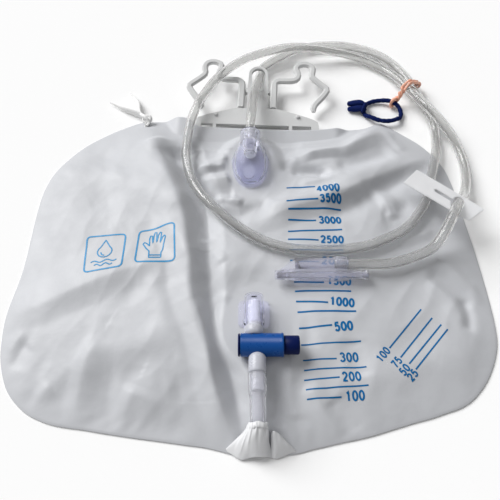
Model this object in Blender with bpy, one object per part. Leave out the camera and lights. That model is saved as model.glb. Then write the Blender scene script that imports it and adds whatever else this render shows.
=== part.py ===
# A four-litre urine drainage bag lying on its back on a table.
# Lengths below are in millimetres and are scaled to metres when a mesh is made.
# X runs to the right, Y towards the hanger, Z up from the table.
import math

import bmesh
import bpy
from mathutils import Matrix, Vector

MM = 0.001

# Sizes shared by the pieces
GAP = 0.3
TUBE_OUTER = 7.8
SHEET = 0.6
SEAM_MARGIN = 1.5
BAG_WIDTH = 344.6
DRAWN_WIDTH = 344.6
BAG_RISE = 15.0
BAG_CENTRE = (0.0, -34.6)
FILM_SPOKES = 72
FILM_RINGS = 11

PLATE_THICKNESS = 3.0
HANGER_ORIGIN = (6.5, 97.4, 3.4)
HANGER_TILT = 7.0
HANGER_TURN = -2.5
POST_HALF_WIDTH = 9.2
EYE_CENTRE_V = 59.4
EYE_OUTER = 8.6
EYE_HOLE = 6.0
SLOT_BOTTOM = -1.4
SLOT_TOP = 3.2
LEG_OFFSET = 14.4
LEG_WIDTH = 6.4
LEG_THICKNESS = 4.6
STRAND_WIDTH = 5.5
STRAND_THICKNESS = 4.0
LEG_FOOT = 21.9
PIN_RADIUS = 1.2
PIN_CLEARANCE = 0.3
PIN_LENGTH = 5.0
CLIP_WALL = 1.2

CHAMBER_X = 1.4
CHAMBER_FLOOR = 14.3
CHAMBER_BASE_THICKNESS = 1.4
CHAMBER_WALL = 1.3
NECK_AXIS_Z = 22.7
NECK_RADIUS = 8.4
NECK_MOUTH_Y = 76.3
TUBE_END_Y = 54.2
FLAP_THICKNESS = 0.8
PORT_CENTRE = (0.4, 42.4)
PORT_HALF_X = 4.0
PORT_HALF_Y = 7.0

VALVE_Y = -106.6
VALVE_Z = 22.0
BARREL_RADIUS = 7.7
BORE_RADIUS = 6.55
BARREL_LEFT = -5.2
BARREL_RIGHT = 23.2
LAND_RADIUS = 6.1
KNOB_RADIUS = 6.25
SEAL_RADIUS = 6.34
SEAL_WIDTH = 1.2
GROOVE_RADIUS = 5.0
SEAL_LEFT_X = 4.6
SEAL_RIGHT_X = 19.0
NOZZLE_X = 3.9
NOZZLE_RADIUS = 4.6
NOZZLE_BORE = 3.5
SPIGOT_X = 5.9
SPIGOT_RADIUS = 5.7
INSERT_RADIUS = 4.1
INSERT_BORE = 3.0
OUTLET_RADIUS = 5.0
OUTLET_BORE = 3.6
OUTLET_FLARE = 5.9
HOLDER_RADIUS = 6.8
HOLDER_BORE = 5.2

CONNECTOR_Y = -55.0
CONNECTOR_Z = 22.3
CONNECTOR_RADIUS = 4.4
SOCKET_RADIUS = 5.3
SOCKET_Y = -46.3
SOCKET_MOUTH_X = 70.5
SAMPLING_END_X = 84.0
CAP_LEFT = 18.6
TIP_RADIUS = 2.5
CAP_RADIUS = 3.6

CLAMP_CENTRE = (147.4, 12.6, 25.6)
CLAMP_LENGTH = 56.0
CLAMP_WIDTH = 14.8
CLAMP_THICKNESS = 1.6
CLAMP_SLOT_X = 13.5
CLAMP_HOLE_RADIUS = 5.9
CLAMP_SLIT = 1.4

RING_RADIUS = 1.9
BAND_RADIUS = 1.2
BAND_SPREAD = 1.5
CORD_RADIUS = 1.1
EYELET_CENTRE = (-89.0 * BAG_WIDTH / DRAWN_WIDTH, 99.6)
EYELET_RADIUS = 3.3
LAY_ROOM = 0.7

# Edge of the printed sheet at its drawn width, from the lower right round by the top and back
EDGE_DRAWING = [
    (34.7, -169.2), (45.6, -167.4), (72.0, -162.6), (97.8, -156.4), (125.4, -146.3),
    (144.2, -133.8), (156.6, -120.4), (165.0, -104.0), (169.4, -87.9), (171.2, -64.6),
    (172.3, -31.3), (169.6, 5.0), (166.3, 39.5), (161.0, 60.5), (148.0, 80.0),
    (131.5, 94.5), (119.1, 104.5), (112.0, 104.8), (101.0, 100.0), (89.2, 98.2),
    (62.7, 93.6), (34.0, 93.0), (5.0, 94.2), (-22.0, 95.6), (-40.0, 96.6),
    (-47.5, 100.5), (-54.0, 106.0), (-69.9, 107.4), (-84.0, 107.6), (-95.6, 106.4),
    (-107.0, 101.0), (-119.7, 93.8), (-140.2, 78.5), (-157.8, 56.2), (-165.4, 36.0),
    (-167.6, 10.7), (-168.0, -39.0), (-172.3, -74.8), (-171.4, -96.0), (-169.0, -112.0),
    (-160.2, -131.8), (-146.8, -145.0), (-130.0, -153.0), (-101.2, -161.4), (-62.0, -168.4),
    (-30.4, -170.2), (-10.0, -170.8), (14.0, -170.6),
]
FILM_EDGE = [(x * BAG_WIDTH / DRAWN_WIDTH, y) for x, y in EDGE_DRAWING]

# Folds of the front sheet: start, end, half width and height of each
FOLDS = [
    (-160.0, -62.0, -52.0, -26.0, 9.0, 3.6),
    (-150.0, -82.0, -62.0, -60.0, 11.0, -3.4),
    (-72.0, 50.0, -52.0, 4.0, 8.0, -4.2),
    (-52.0, 4.0, -38.0, -56.0, 7.0, -5.6),
    (-36.0, -58.0, -26.0, -104.0, 7.0, -4.6),
    (-25.0, -108.0, -15.0, -150.0, 7.0, -4.4),
    (20.0, 8.0, 88.0, 23.0, 7.0, 3.0),
    (-66.0, -60.0, -40.0, -118.0, 9.0, 2.2),
    (36.0, -92.0, 31.0, -150.0, 8.0, -3.2),
    (-66.0, 64.0, -38.0, 34.0, 9.0, -4.2),
    (30.0, 50.0, 58.0, 44.0, 6.0, -3.6),
    (48.0, 76.0, 116.0, 92.0, 8.0, 3.2),
    (72.0, 6.0, 132.0, 48.0, 9.0, -3.2),
    (62.0, 22.0, 122.0, 66.0, 8.0, 2.8),
    (112.0, -6.0, 160.0, -24.0, 8.0, -2.6),
    (-118.0, 46.0, -60.0, 12.0, 12.0, 2.4),
    (-140.0, -128.0, -62.0, -98.0, 12.0, 2.2),
    (58.0, -132.0, 128.0, -112.0, 12.0, 2.2),
    (-60.0, -12.0, -34.0, -48.0, 8.0, 2.4),
]

# Flat seats that the moulded parts rest on: centre, half sizes and height of the sheet
SEATS = [
    (1.4, 51.0, 19.0, 27.0, 13.3),
    (6.0, -90.0, 27.0, 31.0, 12.7),
]

# Centre line of the right hook in the plane of the hanger
HOOK_LINE = [
    (14.4, 21.9), (14.4, 34.0), (14.4, 46.5), (15.2, 50.4), (18.4, 52.7), (23.3, 53.0),
    (30.0, 53.2), (34.2, 54.6), (36.2, 58.2), (35.8, 62.6), (34.3, 66.4), (35.2, 70.2),
    (38.6, 72.5), (42.8, 73.1), (46.9, 71.7), (49.4, 68.2), (49.3, 63.4), (48.6, 59.2),
    (51.6, 55.2), (57.6, 49.6), (62.2, 45.0), (60.6, 40.4), (56.5, 34.2), (51.4, 27.6),
    (50.0, 23.8), (50.2, 19.9),
]

# Route of the inlet tube from inside the chamber to the connector; the part through the
# eye is given in the plane of the hanger
INLET_START = [(1.4, 54.2, 22.7), (1.4, 66.0, 22.7), (1.4, 78.0, 22.7), (1.5, 86.0, 22.9), (2.6, 98.0, 24.0)]
INLET_EYE = [(-2.6, 27.0, 14.6), (-1.2, 40.0, 8.6), (0.2, 53.0, 1.3), (0.8, 63.5, -4.6), (2.4, 70.4, -7.1)]
INLET_ROUTE = [
    (13.6, 174.4, 4.8), (22.6, 182.6, 4.8), (31.9, 190.2, 4.8), (41.8, 197.2, 4.8),
    (54.5, 201.5, 4.8), (69.2, 204.3, 4.8), (93.6, 203.8, 4.8), (116.9, 195.4, 4.8),
    (132.6, 182.5, 4.8), (143.5, 165.6, 4.8), (151.1, 147.3, 4.8), (156.5, 129.6, 4.8),
    (160.6, 114.2, 4.8), (162.2, 101.0, 4.8), (161.3, 86.8, 5.0), (158.5, 71.7, 7.0),
    (153.1, 54.5, 9.0), (147.0, 37.1, 11.0), (142.4, 22.3, 12.0), (138.1, 13.2, 12.0),
    (132.2, 4.0, 13.0), (125.2, -5.3, 14.0), (115.9, -14.3, 15.0), (103.3, -22.2, 16.0),
    (89.0, -28.8, 17.0), (73.9, -32.4, 18.0), (59.3, -34.0, 18.0), (37.5, -34.0, 18.0),
    (23.8, -31.3, 18.0), (12.2, -27.2, 18.0), (0.5, -20.5, 18.0), (-13.1, -9.7, 17.0),
    (-27.2, 4.6, 16.0), (-35.3, 14.4, 15.0), (-42.2, 26.3, 14.0), (-46.8, 38.2, 14.0),
    (-50.5, 53.5, 14.0), (-51.5, 63.6, 14.0), (-51.1, 79.4, 15.0), (-49.1, 96.3, 16.0),
    (-44.4, 113.7, 17.0), (-37.5, 128.4, 18.4), (-30.0, 140.9, 19.6), (-18.7, 154.6, 20.0),
    (-5.2, 168.5, 18.4), (8.6, 179.0, 16.0), (24.7, 186.9, 14.6), (39.0, 190.5, 14.4),
    (53.1, 190.6, 14.3), (65.5, 190.1, 13.0), (79.3, 190.6, 9.8), (96.7, 188.8, 6.5),
    (112.6, 182.0, 5.0), (127.3, 170.4, 5.4), (136.1, 156.7, 8.5), (143.0, 138.0, 12.8),
    (150.8, 121.6, 14.8), (159.0, 107.6, 15.0), (167.2, 95.6, 12.6), (174.4, 86.0, 8.0),
    (178.8, 73.6, 4.9), (180.1, 57.4, 4.8), (178.0, 40.8, 6.2), (172.8, 26.4, 10.4),
    (165.2, 14.3, 18.0), (157.8, 4.0, 26.4), (151.4, -7.4, 29.6), (145.9, -17.4, 25.4),
    (139.6, -26.4, 20.4), (132.1, -32.6, 18.0), (116.4, -39.8, 18.5), (101.1, -44.9, 20.6),
    (90.0, -46.2, 22.2), (80.0, -46.3, 22.3), (71.0, -46.3, 22.3), (61.5, -46.3, 22.3),
]

OUTLET_ROUTE = [
    (5.9, -125.8, 22.0), (5.9, -132.0, 22.0), (5.9, -138.0, 21.9), (6.0, -144.0, 20.5),
    (6.2, -150.0, 17.6), (6.3, -155.6, 14.7), (6.4, -161.5, 12.2),
]


def clear_scene():
    for item in list(bpy.data.objects):
        bpy.data.objects.remove(item, do_unlink=True)


def material(name, colour, roughness=0.5, clear=0.0):
    made = bpy.data.materials.new(name)
    made.use_nodes = True
    shader = made.node_tree.nodes["Principled BSDF"]
    shader.inputs["Base Color"].default_value = (*colour, 1.0)
    shader.inputs["Roughness"].default_value = roughness
    shader.inputs["Transmission Weight"].default_value = clear
    made.diffuse_color = (*colour, 1.0)
    return made


def add_mesh(name, points, faces, look=None, smooth=True, frame=None):
    """Make an object from points in millimetres, in the frame's own axes when one is given."""
    work = bmesh.new()
    corners = [work.verts.new(Vector(p) * MM) for p in points]
    for face in faces:
        work.faces.new([corners[i] for i in face])
    bmesh.ops.recalc_face_normals(work, faces=work.faces)
    data = bpy.data.meshes.new(name)
    work.to_mesh(data)
    work.free()
    for polygon in data.polygons:
        polygon.use_smooth = smooth
    made = bpy.data.objects.new(name, data)
    bpy.context.scene.collection.objects.link(made)
    if look is not None:
        data.materials.append(look)
    if frame is not None:
        made.parent = frame
    return made


def boolean(target, tool, operation):
    tool.hide_render = True
    tool.display_type = "WIRE"
    step = target.modifiers.new(operation.lower(), "BOOLEAN")
    step.operation = operation
    step.solver = "EXACT"
    step.object = tool


def cut(target, tool):
    boolean(target, tool, "DIFFERENCE")


def join(target, tool):
    boolean(target, tool, "UNION")


def loft(rings):
    """Skin a run of closed rings with as many points each, both ends capped."""
    count = len(rings[0])
    points = [p for ring in rings for p in ring]
    faces = []
    for row in range(len(rings) - 1):
        for i in range(count):
            j = (i + 1) % count
            a = row * count
            b = a + count
            faces.append((a + i, a + j, b + j, b + i))
    faces.append(tuple(range(count - 1, -1, -1)))
    last = (len(rings) - 1) * count
    faces.append(tuple(range(last, last + count)))
    return points, faces


def closed_loft(rings):
    """Skin a run of closed rings whose last ring joins the first again."""
    count = len(rings[0])
    points = [p for ring in rings for p in ring]
    faces = []
    for row in range(len(rings)):
        for i in range(count):
            j = (i + 1) % count
            a = row * count
            b = ((row + 1) % len(rings)) * count
            faces.append((a + i, a + j, b + j, b + i))
    return points, faces


def prism(outline, low, high):
    """Upright slab over a closed outline."""
    return loft([[(x, y, low) for x, y in outline], [(x, y, high) for x, y in outline]])


def lathe(profile, place, segments=24, closed=False):
    """Turn a profile of (distance along the axis, radius) pairs; place maps local Z to the axis."""
    rings = []
    for along, radius in profile:
        ring = []
        for i in range(segments):
            angle = 2.0 * math.pi * i / segments
            spot = place @ Vector((radius * math.cos(angle), radius * math.sin(angle), along))
            ring.append(tuple(spot))
        rings.append(ring)
    return closed_loft(rings) if closed else loft(rings)


def axis_frame(origin, direction):
    """Matrix that takes local Z to the given direction at the given origin."""
    turn = Vector((0.0, 0.0, 1.0)).rotation_difference(Vector(direction)).to_matrix().to_4x4()
    return Matrix.Translation(Vector(origin)) @ turn


def catmull_rom(route, closed=False, parts=12):
    """Dense smooth curve through the route points."""
    pts = [Vector(p) for p in route]
    count = len(pts)
    out = []
    spans = count if closed else count - 1
    for k in range(spans):
        b = pts[k]
        c = pts[(k + 1) % count]
        a = pts[k - 1] if closed or k > 0 else b * 2.0 - c
        d = pts[(k + 2) % count] if closed or k + 2 < count else c * 2.0 - b
        for i in range(parts):
            t = i / parts
            out.append(
                0.5 * (2.0 * b + (c - a) * t + (2.0 * a - 5.0 * b + 4.0 * c - d) * t * t
                       + (3.0 * b - a - 3.0 * c + d) * t * t * t)
            )
    if not closed:
        out.append(pts[-1])
    return out


def even_steps(dense, count, bend=0.0):
    """Points spread along a dense curve, closer together where it bends when bend is above zero."""
    lengths = [0.0]
    for k in range(1, len(dense)):
        step = (dense[k] - dense[k - 1]).length
        turn = 0.0
        if 1 <= k < len(dense) - 1:
            turn = (dense[k] - dense[k - 1]).angle(dense[k + 1] - dense[k], 0.0)
        lengths.append(lengths[-1] + step + bend * turn)
    out = []
    k = 0
    for i in range(count):
        want = lengths[-1] * i / (count - 1)
        while k < len(dense) - 2 and lengths[k + 1] < want:
            k += 1
        span = lengths[k + 1] - lengths[k]
        t = (want - lengths[k]) / span if span > 0.0 else 0.0
        out.append(dense[k].lerp(dense[k + 1], t))
    return out


def hanger_matrix():
    """Axes of the hanger: X along the plate, Y up the post, Z out of its front face."""
    turn = Matrix.Rotation(math.radians(HANGER_TURN), 4, "Z")
    tilt = Matrix.Rotation(math.radians(HANGER_TILT), 4, "X")
    return Matrix.Translation(Vector(HANGER_ORIGIN)) @ turn @ tilt


def frame_object(name, matrix):
    frame = bpy.data.objects.new(name, None)
    bpy.context.scene.collection.objects.link(frame)
    place = matrix.copy()
    place.translation = place.translation * MM
    frame.matrix_world = place
    return frame


EDGE_CURVE = [(p.x, p.y) for p in catmull_rom([(x, y, 0.0) for x, y in FILM_EDGE], closed=True, parts=6)]


def edge_radius(angle):
    """Distance from the bag's middle to the sheet's edge in one direction."""
    dx = math.cos(angle)
    dy = math.sin(angle)
    best = 0.0
    count = len(EDGE_CURVE)
    for k in range(count):
        ax = EDGE_CURVE[k][0] - BAG_CENTRE[0]
        ay = EDGE_CURVE[k][1] - BAG_CENTRE[1]
        bx = EDGE_CURVE[(k + 1) % count][0] - BAG_CENTRE[0]
        by = EDGE_CURVE[(k + 1) % count][1] - BAG_CENTRE[1]
        side_a = dx * ay - dy * ax
        side_b = dx * by - dy * bx
        if side_a * side_b <= 0.0 and side_a != side_b:
            t = side_a / (side_a - side_b)
            reach = (ax + (bx - ax) * t) * dx + (ay + (by - ay) * t) * dy
            best = max(best, reach)
    return best


EDGE_STEPS = 720
EDGE_TABLE = [edge_radius(2.0 * math.pi * i / EDGE_STEPS) for i in range(EDGE_STEPS)]


def edge_ratio(x, y):
    """0 in the middle of the bag and 1 on the edge of the front sheet."""
    dx = x - BAG_CENTRE[0]
    dy = y - BAG_CENTRE[1]
    spot = (math.atan2(dy, dx) % (2.0 * math.pi)) / (2.0 * math.pi) * EDGE_STEPS
    low = int(spot) % EDGE_STEPS
    part = spot - int(spot)
    reach = EDGE_TABLE[low] * (1.0 - part) + EDGE_TABLE[(low + 1) % EDGE_STEPS] * part
    return math.hypot(dx, dy) / reach


def soft_step(value, start, end):
    t = min(max((value - start) / (end - start), 0.0), 1.0)
    return t * t * (3.0 - 2.0 * t)


def plate_lift(x, y):
    """Extra height where the sheet passes over the hanger's lower bar."""
    across = 1.0 - soft_step(abs(x - 7.0), 67.0, 82.0)
    along = soft_step(y, 66.0, 82.0)
    return across * along


def film_height(x, y):
    """Height of the underside of the front sheet."""
    ratio = min(edge_ratio(x, y), 1.0)
    height = SHEET + GAP + BAG_RISE * (1.0 - ratio ** 3)
    folds = 0.0
    for ax, ay, bx, by, width, rise in FOLDS:
        ex = bx - ax
        ey = by - ay
        t = min(max(((x - ax) * ex + (y - ay) * ey) / (ex * ex + ey * ey), 0.0), 1.0)
        gap = math.hypot(x - ax - ex * t, y - ay - ey * t)
        folds += rise * math.exp(-((gap / width) ** 2))
    height += folds * (1.0 - ratio ** 6)
    for cx, cy, half_x, half_y, level in SEATS:
        away = math.hypot((x - cx) / half_x, (y - cy) / half_y)
        keep = 1.0 - soft_step(away, 1.0, 1.45)
        height += (level - height) * keep
    lift = plate_lift(x, y)
    floor = 6.6 + 0.12 * (y - 92.0)
    height = max(height, SHEET + GAP + (floor - SHEET - GAP) * lift)
    return height


def rest_height(x, y):
    """Top of whatever lies on the table at a point of the bag."""
    ratio = edge_ratio(x, y)
    if ratio < 1.0:
        return film_height(x, y) + SHEET
    past = (ratio - 1.0) * 150.0
    near = 1.0 - soft_step(past, 1.5, 5.0)
    return (SHEET * 2.0 + GAP + plate_lift(x, y) * 5.0) * near


def lie_on(x, y, radius):
    """Lowest centre height at which a ball of this radius rests on the bag or the table."""
    best = radius
    for ring in (0.0, 0.5, 0.8, 1.0):
        for k in range(8):
            angle = math.pi * k / 4.0
            px = x + ring * radius * math.cos(angle)
            py = y + ring * radius * math.sin(angle)
            best = max(best, rest_height(px, py) + radius * math.sqrt(1.0 - ring * ring))
    return best + GAP


def build_front_film(look):
    angles = [2.0 * math.pi * i / FILM_SPOKES for i in range(FILM_SPOKES)]
    points = []
    rows = [(k / FILM_RINGS) ** 0.85 for k in range(1, FILM_RINGS + 1)]
    for side in (0.0, SHEET):
        for row in rows:
            for angle in angles:
                reach = edge_radius(angle) * row
                x = BAG_CENTRE[0] + reach * math.cos(angle)
                y = BAG_CENTRE[1] + reach * math.sin(angle)
                points.append((x, y, film_height(x, y) + side))
    half = FILM_RINGS * FILM_SPOKES
    faces = []
    for side in (0, 1):
        base = side * half
        for row in range(FILM_RINGS - 1):
            for i in range(FILM_SPOKES):
                j = (i + 1) % FILM_SPOKES
                a = base + row * FILM_SPOKES
                b = a + FILM_SPOKES
                quad = (a + i, b + i, b + j, a + j)
                faces.append(quad if side else quad[::-1])
        middle = len(points)
        points.append((*BAG_CENTRE, film_height(*BAG_CENTRE) + side * SHEET))
        for i in range(FILM_SPOKES):
            j = (i + 1) % FILM_SPOKES
            tri = (middle, base + i, base + j)
            faces.append(tri if side else tri[::-1])
    rim = (FILM_RINGS - 1) * FILM_SPOKES
    for i in range(FILM_SPOKES):
        j = (i + 1) % FILM_SPOKES
        faces.append((rim + i, rim + j, half + rim + j, half + rim + i))
    film = add_mesh("bag_front_film", points, faces, look)
    opening = Matrix.Translation((*PORT_CENTRE, 0.0)) @ Matrix.Diagonal((PORT_HALF_X, PORT_HALF_Y, 1.0, 1.0))
    port = lathe([(5.0, 1.0), (25.0, 1.0)], opening, 20)
    cut(film, add_mesh("film_port_cutter", *port))
    eyelet_place = Matrix.Translation((*EYELET_CENTRE, 0.0))
    eyelet = lathe([(-2.0, EYELET_RADIUS), (8.0, EYELET_RADIUS)], eyelet_place, 16)
    cut(film, add_mesh("film_eyelet_cutter", *eyelet))


def build_back_film(look):
    outline = []
    for i in range(FILM_SPOKES):
        angle = 2.0 * math.pi * i / FILM_SPOKES
        reach = edge_radius(angle) + SEAM_MARGIN
        x = BAG_CENTRE[0] + reach * math.cos(angle)
        y = BAG_CENTRE[1] + reach * math.sin(angle)
        if y < -150.0 and -30.0 < x < 42.0:
            left_bulge = 2.6 * math.exp(-(((x + 4.0) / 7.0) ** 2))
            right_bulge = 1.8 * math.exp(-(((x - 16.0) / 8.0) ** 2))
            y = min(y, -172.2 - left_bulge - right_bulge)
        outline.append((x, y))
    film = add_mesh("bag_back_film", *prism(outline, 0.0, SHEET), look, smooth=False)
    tail = add_mesh("tail_funnel", *loft(tail_rings()), look)
    join(film, tail)
    bore = []
    centre = catmull_rom(OUTLET_ROUTE[3:] + [(6.45, -164.4, 11.1)], parts=4)
    for k, spot in enumerate(centre):
        ahead = (centre[min(k + 1, len(centre) - 1)] - centre[max(k - 1, 0)]).normalized()
        bore.append(circle(spot, ahead, OUTLET_RADIUS + GAP, 18))
    cut(film, add_mesh("tail_bore_cutter", *loft(bore)))


def circle(spot, direction, radius, count):
    """Ring of points round a spot, square to a direction."""
    place = axis_frame(spot, direction)
    ring = []
    for i in range(count):
        angle = 2.0 * math.pi * i / count
        ring.append(tuple(place @ Vector((radius * math.cos(angle), radius * math.sin(angle), 0.0))))
    return ring


TAIL_STATIONS = [
    (-173.9, 9.0, 27.0, 0.35, 1.0, 0.0),
    (-172.3, 9.0, 27.0, 1.15, 2.6, 0.3),
    (-170.0, 9.0, 25.5, 2.5, 5.6, 0.9),
    (-167.4, 8.6, 22.6, 3.4, 9.2, 1.5),
    (-164.6, 8.0, 17.4, 4.2, 13.2, 1.7),
    (-161.8, 7.2, 12.0, 4.8, 17.0, 1.3),
    (-159.2, 6.7, 8.6, 5.8, 19.4, 0.7),
    (-156.2, 6.4, 7.1, 7.4, 21.0, 0.2),
]


def tail_rings():
    """Rings of the gathered funnel, from the fold at the bag's lower edge up to its neck."""
    count = 34
    rings = []
    for y, cx, half, low, high, pleat in TAIL_STATIONS:
        mid = 0.5 * (low + high)
        rise = 0.5 * (high - low)
        flat = soft_step(half, 8.0, 22.0)
        ring = []
        for i in range(count):
            angle = 2.0 * math.pi * i / count
            c = math.cos(angle)
            s = math.sin(angle)
            x = cx + half * c
            z = mid + rise * math.copysign(abs(s) ** (1.0 - 0.45 * flat), s)
            if s > 0.0:
                z += pleat * s * math.cos(4.0 * math.pi * c + 0.6)
            ring.append((x, y, z))
        rings.append(ring)
    return rings


def arc_points(cx, cy, radius, start, end, count):
    out = []
    for i in range(count):
        angle = math.radians(start + (end - start) * i / (count - 1))
        out.append((cx + radius * math.cos(angle), cy + radius * math.sin(angle)))
    return out


def plate_outline():
    """Lower bar, arched shoulders and post of the hanger, without its eye."""
    right = [
        (54.6, -4.0), (54.6, 4.0), (53.6, 8.0), (50.0, 10.4), (44.0, 12.8), (31.0, 17.0),
        (22.0, 19.6), (17.5, 20.9), (POST_HALF_WIDTH, 20.9), (POST_HALF_WIDTH, 44.0),
    ]
    eye = arc_points(0.0, EYE_CENTRE_V, EYE_OUTER, 0.0, 180.0, 15)
    left = [(-x, y) for x, y in reversed(right)]
    foot = [(-52.6, -10.0), (52.6, -10.0)]
    return right + eye + left + foot


def eye_outline():
    top = arc_points(0.0, EYE_CENTRE_V + 0.1, EYE_HOLE, 0.0, 180.0, 13)
    bottom = arc_points(0.0, 44.6, EYE_HOLE - 0.6, 200.0, 340.0, 7)
    return top + bottom


def build_hanger(look, frame):
    plate = add_mesh("hanger_plate", *prism(plate_outline(), 0.0, PLATE_THICKNESS), look, False, frame)
    through = (-1.0, PLATE_THICKNESS + 1.0)
    cut(plate, add_mesh("eye_cutter", *prism(eye_outline(), *through), frame=frame))
    slots = [(-48.0, -38.1), (-35.1, 28.4), (31.4, 48.0)]
    for k, (left, right) in enumerate(slots):
        hole = [(left, SLOT_BOTTOM), (right, SLOT_BOTTOM), (right, SLOT_TOP), (left, SLOT_TOP)]
        cut(plate, add_mesh("slot_cutter_%d" % k, *prism(hole, *through), frame=frame))
    for side, name in ((-1, "left"), (1, "right")):
        centre = Matrix.Translation((side * LEG_OFFSET, 0.0, PLATE_THICKNESS / 2.0))
        up = centre @ Matrix.Rotation(math.radians(-90.0), 4, "X")
        pin = lathe([(18.0, PIN_RADIUS), (LEG_FOOT + PIN_LENGTH, PIN_RADIUS)], up, 14)
        join(plate, add_mesh("pin_" + name, *pin, frame=frame))
        join(plate, add_mesh("clip_" + name, *clip_points(side), frame=frame))
        pip = lathe([(1.0, 1.7), (PLATE_THICKNESS + 1.4, 1.7), (PLATE_THICKNESS + 1.9, 1.1)],
                    Matrix.Translation((side * 36.0, 12.6, 0.0)), 12)
        join(plate, add_mesh("pip_" + name, *pip, frame=frame))
    return plate


def clip_points(side):
    """Bearing that reaches from the post round the back of one leg."""
    inner = math.hypot(LEG_WIDTH / 2.0, LEG_THICKNESS / 2.0) - 0.1
    outer = inner + CLIP_WALL
    middle = PLATE_THICKNESS / 2.0
    profile = [(POST_HALF_WIDTH - 0.8, 2.5)]
    inside = [(165.0 + 13.5 * i, inner) for i in range(11)]
    outside = [(300.0 - 12.5 * i, outer) for i in range(9)]
    for angle, radius in inside + outside:
        turn = math.radians(angle)
        profile.append((LEG_OFFSET + radius * math.cos(turn), middle + radius * math.sin(turn)))
    profile.append((POST_HALF_WIDTH - 0.8, 0.2))
    low = [(side * u, 38.5, w) for u, w in profile]
    high = [(side * u, 43.5, w) for u, w in profile]
    return loft([low, high])


def hook_section(width, thickness):
    """Eight-sided section with rounded corners, in the hook's own sideways and outward axes."""
    bevel = 1.3
    a = width / 2.0
    b = thickness / 2.0
    return [
        (a, b - bevel), (a - bevel, b), (bevel - a, b), (-a, b - bevel),
        (-a, bevel - b), (bevel - a, -b), (a - bevel, -b), (a, bevel - b),
    ]


def build_hook(name, side, look, frame):
    pivot = Vector((side * LEG_OFFSET, LEG_FOOT, PLATE_THICKNESS / 2.0))
    dense = catmull_rom([(side * x, y, 0.0) for x, y in HOOK_LINE], parts=8)
    straight = [Vector((side * LEG_OFFSET, y, 0.0)) for y in (21.9, 30.0, 38.0)]
    bent = [p for p in dense if p.y > 45.9 or abs(p.x) > 16.0]
    curve = straight + even_steps(bent, 40)
    rings = []
    for k, spot in enumerate(curve):
        ahead = (curve[min(k + 1, len(curve) - 1)] - curve[max(k - 1, 0)]).normalized()
        across = Vector((-ahead.y, ahead.x, 0.0))
        blend = soft_step(spot.y, 46.0, 52.0) if k < 9 else 1.0
        width = LEG_WIDTH + (STRAND_WIDTH - LEG_WIDTH) * blend
        thickness = LEG_THICKNESS + (STRAND_THICKNESS - LEG_THICKNESS) * blend
        shrink = 1.0
        if k == len(curve) - 1:
            shrink = 0.62
        ring = []
        for a, b in hook_section(width, thickness):
            at = spot + across * (a * shrink) + Vector((0.0, 0.0, b * shrink))
            ring.append((at.x - pivot.x, at.y - pivot.y, at.z))
        rings.append(ring)
    hook = add_mesh(name, *loft(rings), look, True, frame)
    hook.location = pivot * MM
    up = Matrix.Rotation(math.radians(-90.0), 4, "X")
    bore_radius = PIN_RADIUS + PIN_CLEARANCE
    bore = lathe([(-2.0, bore_radius), (PIN_LENGTH + 0.6, bore_radius)], up, 14)
    hole = add_mesh(name + "_bore_cutter", *bore, frame=hook)
    cut(hook, hole)
    return hook


CHAMBER_STATIONS = [
    (NECK_MOUTH_Y, NECK_RADIUS, NECK_AXIS_Z + NECK_RADIUS, NECK_AXIS_Z - NECK_RADIUS, 0.0),
    (68.6, NECK_RADIUS, NECK_AXIS_Z + NECK_RADIUS, NECK_AXIS_Z - NECK_RADIUS, 0.0),
    (65.2, 8.9, 31.1, 14.9, 0.4),
    (61.6, 10.4, 31.3, 15.5, 0.8),
    (57.0, 12.0, 31.4, 15.9, 1.0),
    (51.0, 12.9, 31.2, 15.9, 1.0),
    (44.0, 12.9, 30.4, 15.9, 1.0),
    (38.0, 11.8, 28.6, 15.9, 1.0),
    (33.4, 9.6, 25.8, 15.9, 1.0),
    (30.4, 6.6, 22.4, 15.9, 1.0),
    (28.8, 3.4, 19.0, 15.9, 1.0),
]


def chamber_ring(station, wall, drop):
    y, half, top, bottom, square = station
    mid = NECK_AXIS_Z if square < 0.5 else min(NECK_AXIS_Z - 2.5, 0.5 * (top + bottom))
    ring = []
    for i in range(28):
        angle = 2.0 * math.pi * i / 28
        c = math.cos(angle)
        s = math.sin(angle)
        x = CHAMBER_X + (half - wall) * math.copysign(abs(c) ** (1.0 - 0.35 * square * (s < 0.0)), c)
        if s >= 0.0:
            z = mid + (top - wall - mid) * s
        else:
            z = mid - (mid - bottom + drop) * abs(s) ** (1.0 - 0.6 * square)
        ring.append((x, y, z))
    return ring


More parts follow.
